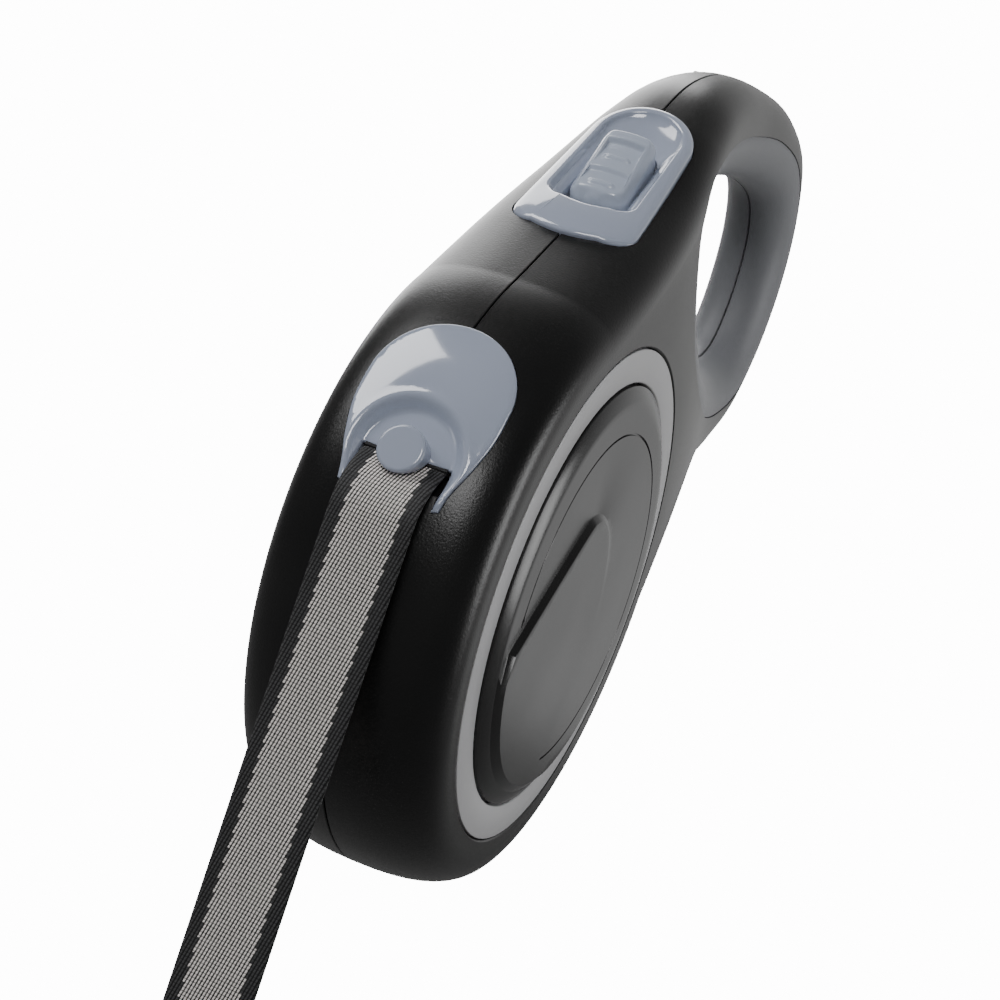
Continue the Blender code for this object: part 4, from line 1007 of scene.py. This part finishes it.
WHITE = 14.0
FILL_STRENGTH, FRONT_FILL, BACK_FILL = 1.0, 0.13, 0.66
AIM = Vector((-0.019, 0.007, -0.015))
LIGHTS = [
    ("front_left", (-0.778, -0.505, 0.831), (0.43, 0.80), 8.6),
    ("back_left", (-0.60, 0.73, 0.63), (0.66, 1.00), 8.6),
    ("right", (0.93, 0.27, 0.07), (0.40, 0.45), 3.6),
    ("front", (0.25, -1.25, 0.56), (0.45, 0.45), 7.0),
]


# Materials

def shader_of(name, colour, roughness, metallic=0.0, specular=0.5, coat=0.0):
    if name in bpy.data.materials:
        return bpy.data.materials[name], None, None
    material = bpy.data.materials.new(name)
    material.use_nodes = True
    tree = material.node_tree
    shader = tree.nodes["Principled BSDF"]
    shader.inputs["Base Color"].default_value = (*colour, 1.0)
    shader.inputs["Roughness"].default_value = roughness
    shader.inputs["Metallic"].default_value = metallic
    shader.inputs["Specular IOR Level"].default_value = specular
    shader.inputs["Coat Weight"].default_value = coat
    shader.inputs["Coat Roughness"].default_value = 0.06
    return material, tree, shader


def add_noise(tree, scale, detail, kind="ShaderNodeTexNoise"):
    coords = tree.nodes.get("coords")
    if coords is None:
        coords = tree.nodes.new("ShaderNodeTexCoord")
        coords.name = "coords"
    noise = tree.nodes.new(kind)
    noise.inputs["Scale"].default_value = scale
    if "Detail" in noise.inputs:
        noise.inputs["Detail"].default_value = detail
    tree.links.new(coords.outputs["Object"], noise.inputs["Vector"])
    return noise


def vary(tree, shader, socket, source, low, high):
    """Lets a texture move a socket between two values."""
    spread = tree.nodes.new("ShaderNodeMapRange")
    spread.inputs["To Min"].default_value = low
    spread.inputs["To Max"].default_value = high
    tree.links.new(source, spread.inputs["Value"])
    tree.links.new(spread.outputs["Result"], shader.inputs[socket])


def vary_colour(tree, shader, source, dark, light):
    ramp = tree.nodes.new("ShaderNodeValToRGB")
    ramp.color_ramp.elements[0].color = (*dark, 1.0)
    ramp.color_ramp.elements[1].color = (*light, 1.0)
    ramp.color_ramp.elements[0].position = 0.3
    ramp.color_ramp.elements[1].position = 0.7
    tree.links.new(source, ramp.inputs["Fac"])
    tree.links.new(ramp.outputs["Color"], shader.inputs["Base Color"])


def add_bump(tree, shader, source, strength, distance):
    bump = tree.nodes.new("ShaderNodeBump")
    bump.inputs["Strength"].default_value = strength
    bump.inputs["Distance"].default_value = distance
    tree.links.new(source, bump.inputs["Height"])
    tree.links.new(bump.outputs["Normal"], shader.inputs["Normal"])
    return bump


def case_plastic():
    """Black moulded plastic with a fine spark-eroded texture."""
    material, tree, shader = shader_of("case_plastic", (0.006, 0.006, 0.006), 0.33, specular=0.36)
    if tree:
        grain = add_noise(tree, 3200.0, 3.0)
        cloud = add_noise(tree, 60.0, 4.0)
        vary(tree, shader, "Roughness", cloud.outputs["Fac"], 0.27, 0.33)
        vary_colour(tree, shader, cloud.outputs["Fac"], (0.0045, 0.0045, 0.0048), (0.0075, 0.0075, 0.0075))
        add_bump(tree, shader, grain.outputs["Fac"], 0.5, 0.00006)
    return material


def gloss_plastic():
    """Glossy blue-grey plastic, slightly wavy as moulded."""
    material, tree, shader = shader_of("gloss_plastic", (0.355, 0.395, 0.495), 0.10, specular=0.5, coat=1.0)
    if tree:
        wave = add_noise(tree, 90.0, 1.0)
        speck = add_noise(tree, 900.0, 2.0)
        vary_colour(tree, shader, wave.outputs["Fac"], (0.345, 0.385, 0.485), (0.365, 0.405, 0.505))
        vary(tree, shader, "Roughness", speck.outputs["Fac"], 0.07, 0.14)
        add_bump(tree, shader, wave.outputs["Fac"], 0.08, 0.0004)
    return material


def button_plastic():
    material, tree, shader = shader_of("button_plastic", (0.42, 0.47, 0.57), 0.14, specular=0.5, coat=0.7)
    if tree:
        wave = add_noise(tree, 200.0, 2.0)
        speck = add_noise(tree, 1400.0, 2.0)
        vary_colour(tree, shader, wave.outputs["Fac"], (0.41, 0.46, 0.56), (0.43, 0.48, 0.58))
        vary(tree, shader, "Roughness", speck.outputs["Fac"], 0.16, 0.26)
        add_bump(tree, shader, speck.outputs["Fac"], 0.1, 0.00003)
    return material


def ring_plastic():
    material, tree, shader = shader_of("ring_plastic", (0.33, 0.33, 0.345), 0.42, specular=0.45)
    if tree:
        fleck = add_noise(tree, 2600.0, 2.0)
        cloud = add_noise(tree, 40.0, 2.0)
        vary_colour(tree, shader, cloud.outputs["Fac"], (0.47, 0.47, 0.48), (0.50, 0.50, 0.51))
        vary(tree, shader, "Roughness", fleck.outputs["Fac"], 0.36, 0.5)
        add_bump(tree, shader, fleck.outputs["Fac"], 0.15, 0.00003)
    return material


def cap_plastic():
    """Black plastic, smoother than the case, with light handling wear in its gloss."""
    material, tree, shader = shader_of("cap_plastic", (0.008, 0.008, 0.008), 0.2, specular=0.5)
    if tree:
        haze = add_noise(tree, 70.0, 5.0)
        grain = add_noise(tree, 4200.0, 2.0)
        vary(tree, shader, "Roughness", haze.outputs["Fac"], 0.17, 0.3)
        vary_colour(tree, shader, haze.outputs["Fac"], (0.006, 0.006, 0.006), (0.011, 0.011, 0.011))
        add_bump(tree, shader, grain.outputs["Fac"], 0.14, 0.00003)
    return material


def grip_rubber():
    """Soft grey moulded rubber."""
    material, tree, shader = shader_of("grip_rubber", (0.15, 0.155, 0.17), 0.5, specular=0.4)
    if tree:
        grain = add_noise(tree, 2200.0, 4.0)
        cloud = add_noise(tree, 45.0, 3.0)
        shader.inputs["Sheen Weight"].default_value = 0.15
        shader.inputs["Sheen Roughness"].default_value = 0.4
        vary_colour(tree, shader, cloud.outputs["Fac"], (0.152, 0.157, 0.172), (0.178, 0.183, 0.198))
        vary(tree, shader, "Roughness", cloud.outputs["Fac"], 0.44, 0.56)
        add_bump(tree, shader, grain.outputs["Fac"], 0.25, 0.00005)
    return material


def math_node(tree, operation, a, b=None, clamp=False):
    node = tree.nodes.new("ShaderNodeMath")
    node.operation = operation
    node.use_clamp = clamp
    for socket, value in zip(node.inputs, (a, b)):
        if value is None:
            continue
        if isinstance(value, (int, float)):
            socket.default_value = value
        else:
            tree.links.new(value, socket)
    return node.outputs[0]


def tape_weave():
    """A twill: slanted rows of long grains, pale in the centre stripe and black at both edges. Its colour follows
    the weave's relief: painted shade darkens the gaps between the floats, and a painted highlight greys the crowns
    of the black edge threads.
    """
    material, tree, shader = shader_of("tape_weave", (0.3, 0.3, 0.29), 0.62, specular=0.3)
    if not tree:
        return material
    uv = tree.nodes.new("ShaderNodeUVMap")
    uv.uv_map = "weave"
    split = tree.nodes.new("ShaderNodeSeparateXYZ")
    tree.links.new(uv.outputs[0], split.inputs[0])
    row = math_node(tree, "MULTIPLY", split.outputs["Y"], ROWS_ALONG)
    shift = math_node(tree, "MULTIPLY", row, ROW_SHIFT)
    grain = math_node(tree, "ADD", math_node(tree, "MULTIPLY", split.outputs["X"], THREADS_ACROSS), shift)
    ridge = math_node(tree, "COSINE", math_node(tree, "MULTIPLY", grain, 2 * math.pi))
    notch = math_node(tree, "ABSOLUTE", math_node(tree, "COSINE", math_node(tree, "MULTIPLY", row, math.pi)))
    notch = math_node(tree, "MINIMUM", math_node(tree, "MULTIPLY", notch, 2.2), 1.0)
    over = math_node(tree, "MULTIPLY", math_node(tree, "MULTIPLY_ADD", ridge, 0.5), notch)
    over.node.inputs[0].links[0].from_node.inputs[2].default_value = 0.5
    # The floats' share, from the weave's relief: it sets the painted shade in the gaps and the painted highlight on
    # the black threads' crowns.
    float_share_painted_light = math_node(tree, "MULTIPLY_ADD", over, 1.9, True)
    float_share_painted_light.node.inputs[2].default_value = -0.30
    centre = math_node(tree, "ABSOLUTE", math_node(tree, "SUBTRACT", math_node(tree, "ROUND", grain), shift))
    stripe = math_node(tree, "LESS_THAN", centre, STRIPE_HALF * THREADS_ACROSS)
    fuzz = add_noise(tree, 5200.0, 3.0)
    tint = tree.nodes.new("ShaderNodeMapRange")
    tint.inputs["To Min"].default_value = 0.8
    tint.inputs["To Max"].default_value = 1.15
    tree.links.new(fuzz.outputs["Fac"], tint.inputs["Value"])
    # Stripe: the pale yarn's own colour on the floats, with near-black painted shade in the gaps between them.
    pale = tree.nodes.new("ShaderNodeMix")
    pale.data_type = "RGBA"
    pale.inputs[6].default_value = (0.012, 0.012, 0.011, 1.0)
    pale.inputs[7].default_value = (0.95, 0.89, 0.86, 1.0)
    tree.links.new(float_share_painted_light, pale.inputs[0])
    # Edges: black yarn, with near-black painted shade in the gaps and a painted grey highlight on each float's
    # crown.
    dark = tree.nodes.new("ShaderNodeMix")
    dark.data_type = "RGBA"
    dark.inputs[6].default_value = (0.002, 0.002, 0.002, 1.0)
    dark.inputs[7].default_value = (0.060, 0.060, 0.062, 1.0)
    tree.links.new(float_share_painted_light, dark.inputs[0])
    both = tree.nodes.new("ShaderNodeMix")
    both.data_type = "RGBA"
    tree.links.new(stripe, both.inputs[0])
    tree.links.new(dark.outputs[2], both.inputs[6])
    tree.links.new(pale.outputs[2], both.inputs[7])
    shade = tree.nodes.new("ShaderNodeMix")
    shade.data_type = "RGBA"
    shade.blend_type = "MULTIPLY"
    shade.inputs[0].default_value = 1.0
    tree.links.new(both.outputs[2], shade.inputs[6])
    tree.links.new(tint.outputs["Result"], shade.inputs[7])
    tree.links.new(shade.outputs[2], shader.inputs["Base Color"])
    shader.inputs["Sheen Weight"].default_value = 0.1
    add_bump(tree, shader, over, 0.35, 0.00006)
    return material


def woven_black():
    material, tree, shader = shader_of("woven_black", (0.02, 0.02, 0.021), 0.8, specular=0.25)
    if tree:
        fuzz = add_noise(tree, 2400.0, 4.0)
        vary_colour(tree, shader, fuzz.outputs["Fac"], (0.010, 0.010, 0.011), (0.04, 0.04, 0.042))
        add_bump(tree, shader, fuzz.outputs["Fac"], 0.6, 0.0001)
    return material


def stopper_plastic():
    material, tree, shader = shader_of("stopper_plastic", (0.015, 0.015, 0.016), 0.45, specular=0.45)
    if tree:
        grain = add_noise(tree, 2400.0, 3.0)
        vary(tree, shader, "Roughness", grain.outputs["Fac"], 0.4, 0.55)
        add_bump(tree, shader, grain.outputs["Fac"], 0.25, 0.00004)
    return material


def inner_plastic():
    material, tree, shader = shader_of("inner_plastic", (0.55, 0.55, 0.53), 0.45, specular=0.4)
    if tree:
        cloud = add_noise(tree, 50.0, 3.0)
        grain = add_noise(tree, 1500.0, 2.0)
        vary_colour(tree, shader, cloud.outputs["Fac"], (0.50, 0.50, 0.475), (0.58, 0.575, 0.55))
        vary(tree, shader, "Roughness", grain.outputs["Fac"], 0.38, 0.52)
        add_bump(tree, shader, grain.outputs["Fac"], 0.15, 0.00004)
    return material


def metal(name, colour, low, high, scale, strength):
    material, tree, shader = shader_of(name, colour, low, metallic=1.0)
    if tree:
        cloud = add_noise(tree, scale, 4.0)
        fine = add_noise(tree, scale * 30, 3.0)
        vary(tree, shader, "Roughness", cloud.outputs["Fac"], low, high)
        dark = tuple(c * 0.86 for c in colour)
        vary_colour(tree, shader, cloud.outputs["Fac"], dark, colour)
        add_bump(tree, shader, fine.outputs["Fac"], strength, 0.00003)
    return material


def chrome():
    return metal("chrome_plate", (0.80, 0.80, 0.81), 0.08, 0.17, 80.0, 0.06)


def steel():
    return metal("plain_steel", (0.58, 0.58, 0.58), 0.28, 0.42, 120.0, 0.2)


def spring_steel():
    return metal("spring_steel_wire", (0.42, 0.43, 0.45), 0.28, 0.4, 160.0, 0.15)


def floor_paint():
    """A pale floor, as overexposed to the camera as the background is."""
    material, tree, shader = shader_of("floor_paint", (0.86, 0.86, 0.86), 0.7, specular=0.2)
    if tree:
        cloud = add_noise(tree, 6.0, 3.0)
        vary_colour(tree, shader, cloud.outputs["Fac"], (0.15, 0.15, 0.15), (0.17, 0.17, 0.17))
        seen = tree.nodes.new("ShaderNodeLightPath")
        glow = tree.nodes.new("ShaderNodeEmission")
        glow.inputs["Strength"].default_value = WHITE
        mix = tree.nodes.new("ShaderNodeMixShader")
        tree.links.new(seen.outputs["Is Camera Ray"], mix.inputs["Fac"])
        tree.links.new(shader.outputs[0], mix.inputs[1])
        tree.links.new(glow.outputs[0], mix.inputs[2])
        tree.links.new(mix.outputs[0], tree.nodes["Material Output"].inputs["Surface"])
    return material


def dress_cad_nodes():
    finishes = {"inner_plastic": inner_plastic, "steel": steel, "chrome": chrome, "spring_steel": spring_steel,
                "stopper_black": stopper_plastic, "tape": woven_black, "case_black": case_plastic,
                "trim_grey": gloss_plastic, "ring_grey": ring_plastic, "cap_black": cap_plastic,
                "grip_grey": grip_rubber}
    for part in frame["record"]["subparts"]:
        node = frame["nodes"][part["node"]]
        for slot in node.material_slots:
            slot.material = finishes[part["material_slot"]]()


# The end of the tape and the snap hook

def loop_path():
    reach = EYE_R + GAP + TAPE_T / 2
    path = [(TAPE_Y, TAPE_END - GAP), (TAPE_Y, EYE_Z + 4.5)]
    path += [on_circle(reach, a, (LOOP_Y, EYE_Z)) for a in range(170, 375, 8)]
    behind = TAPE_Y + TAPE_T + GAP
    return path + [(behind, EYE_Z + 4.5), (behind, TAPE_END + 12.0)]


def end_loop():
    woven_band("end_loop", loop_path(), "case", ["tape_loop"])
    bm = bmesh.new()
    for row, z in enumerate((-83.0, -84.6)):
        for k in range(9):
            x = -4.8 + 1.2 * k
            loops = []
            for i in range(7):
                t = i / 6
                out = TAPE_Y - TAPE_T / 2 - 0.16 * math.sin(math.pi * t)
                loops.append([Vector((x + 0.9 * t - 0.45, out, z)) + Vector((0, math.cos(a), math.sin(a))) * 0.14
                              for a in (2 * math.pi * q / 8 for q in range(8))])
            stitch = loft(loops)
            mesh = bpy.data.meshes.new("stitch")
            stitch.to_mesh(mesh)
            bm.from_mesh(mesh)
            bpy.data.meshes.remove(mesh)
            stitch.free()
    piece("loop_stitches", bm, woven_black(), "case", [])


def rounded_box_loop(half_x, half_y, radius, count=10):
    points = []
    for cx, cy, start in ((1, 1, 0), (-1, 1, 90), (-1, -1, 180), (1, -1, 270)):
        for k in range(count):
            a = math.radians(start + 90 * k / (count - 1))
            points.append((cx * (half_x - radius) + radius * math.cos(a),
                           cy * (half_y - radius) + radius * math.sin(a)))
    return points


def stopper():
    """The moulded stopper over the tape's end: a soft-cornered sleeve with a slot through it."""
    centre = TAPE_Y + (TAPE_T + GAP) / 2
    rows = []
    for z, grow, inner in ((-70.0, -0.6, False), (-70.15, -0.2, False), (-70.6, 0.0, False), (-75.5, 0.15, False),
                           (-80.4, 0.0, False), (-80.85, -0.2, False), (-81.0, -0.6, False),
                           (-81.0, 0.35, True), (-80.7, 0.0, True), (-70.3, 0.0, True), (-70.0, 0.35, True)):
        if inner:
            loop = rounded_box_loop(6.3 + grow, 1.2 + grow, 0.5)
        else:
            loop = rounded_box_loop(8.1 + grow, 3.0 + grow, 1.6 + grow)
        rows.append([(x, centre + y, z) for x, y in loop])
    piece("stopper", loft(rows, closed=True), stopper_plastic(), "case", ["tape_stopper"], 50)


def hook_path(steps):
    tip = BOLT_TIP - 0.6
    points = [(-2.2, BARREL_END + 8.0), (-3.2, BARREL_END + 3.0), (-7.0, BARREL_END - 1.0),
              (-11.2, BARREL_END - 6.0), (-12.4, BARREL_END - 12.5), (-9.2, BARREL_END - 18.4),
              (-3.6, BARREL_END - 20.2), (0.4, BARREL_END - 17.2), (0.2, tip), (0.0, tip + 5.0)]
    return [(x, LOOP_Y, z) for x, z in spline(points, steps, False)] + [(0.2, LOOP_Y, tip)]


def snap_hook():
    base = Vector((0.0, LOOP_Y, 0.0))
    down = (0.0, 0.0, -1.0)
    top, end = -BARREL_TOP, -BARREL_END
    barrel = [(2.1, top + 2.8), (2.1, top + 0.2), (2.5, top), (BARREL_R - 0.8, top), (BARREL_R - 0.2, top + 0.3),
              (BARREL_R, top + 0.9), (BARREL_R, top + 6.2), (BARREL_R - 0.35, top + 6.5),
              (BARREL_R - 0.35, top + 7.1), (BARREL_R, top + 7.4), (BARREL_R, end - 1.2),
              (BARREL_R - 0.3, end - 0.4), (BARREL_R - 1.0, end), (1.95, end), (1.85, end - 0.2),
              (1.85, top + 7.4), (3.1, top + 5.4), (3.1, top + 2.8)]
    body = piece("snap_body", turned_along(barrel, base, down, 64), None, "hook", ["hook_body"], 30)

    def jaw_radius(t):
        return HOOK_R * (0.96 + 0.12 * math.sin(math.pi * t)) * (1 - 0.12 * smoothstep(t, 0.93, 1.0))

    boolean(body, tube(hook_path(10), HOOK_R, 28, taper=jaw_radius), "UNION")
    stud_z = BOLT_TOP - 2.0
    slot = bmesh.new()
    bmesh.ops.create_cube(slot, size=1.0)
    bmesh.ops.scale(slot, vec=(3.4, 9.0, BOLT_TRAVEL + 3.4), verts=slot.verts)
    bmesh.ops.translate(slot, vec=(0.0, LOOP_Y - 4.5, stud_z + BOLT_TRAVEL / 2), verts=slot.verts)
    boolean(body, slot)
    boolean(body, rod((0, LOOP_Y, BARREL_END - 3), (0, LOOP_Y, BARREL_END + 12), 1.85, 40))
    body.data.shade_smooth()
    body.data.set_sharp_from_angle(angle=math.radians(35))
    body.data.materials.clear()
    body.data.materials.append(chrome())

    tip, head = -BOLT_TIP, -BOLT_TOP
    bolt_profile = [(0.0, head), (1.2, head), (1.5, head + 0.3), (1.5, tip - 0.8), (1.3, tip - 0.3), (0.8, tip),
                    (0.0, tip + 0.05)]
    bolt = piece("snap_bolt", turned_along(bolt_profile, base, down, 48), None, "bolt", ["hook_bolt"],
                 40)
    stem = -(BARREL_R + 0.5)
    knob = [(0.0, -0.5), (1.2, -0.5), (1.2, -stem - 0.2), (1.5, -stem), (2.2, -stem), (2.4, -stem + 0.25),
            (2.4, -stem + 1.2), (2.25, -stem + 1.6), (1.6, -stem + 1.85), (0.0, -stem + 1.9)]
    boolean(bolt, turned_along(knob, (0.0, LOOP_Y, stud_z), (0.0, -1.0, 0.0), 40), "UNION")
    bolt.data.shade_smooth()
    bolt.data.set_sharp_from_angle(angle=math.radians(35))
    bolt.data.materials.clear()
    bolt.data.materials.append(chrome())
    return body


def eye():
    half, low = EYE_HALF, EYE_Z - 8.6
    corners = [(0.0, EYE_Z), (3.9, EYE_Z), (half - 0.6, EYE_Z), (half + 0.6, EYE_Z - 0.6),
               (half + 0.85, EYE_Z - 2.0), (half - 0.4, EYE_Z - 4.4), (5.4, EYE_Z - 6.2), (2.6, low + 0.8),
               (0.0, low + 0.2)]
    left = [(-x, z) for x, z in corners[1:-1]]
    path = [(x, LOOP_Y, z) for x, z in spline(corners + left[::-1], 5, True)]
    ring = piece("swivel_eye", tube(path, EYE_R, 24, closed=True), None, "eye", ["hook_eye"], 40)
    down = (0.0, 0.0, -1.0)
    post = [(0.0, -low - 0.2), (1.8, -low - 0.2), (1.8, -BARREL_TOP + 3.2), (2.8, -BARREL_TOP + 3.2),
            (2.8, -BARREL_TOP + 4.8), (0.0, -BARREL_TOP + 4.8)]
    boolean(ring, turned_along(post, (0.0, LOOP_Y, 0.0), down, 40), "UNION")
    ring.data.shade_smooth()
    ring.data.set_sharp_from_angle(angle=math.radians(40))
    ring.data.materials.clear()
    ring.data.materials.append(chrome())
    return ring


dress_cad_nodes()
studio()
end_loop()
stopper()
snap_hook()
eye()
free_tape()
case_shell(1)
case_shell(-1)
for sign in (1, -1):
    grip_liner(sign)
    side_ring(sign)
    side_cap(sign)
nose_trim()
bezel()
button()
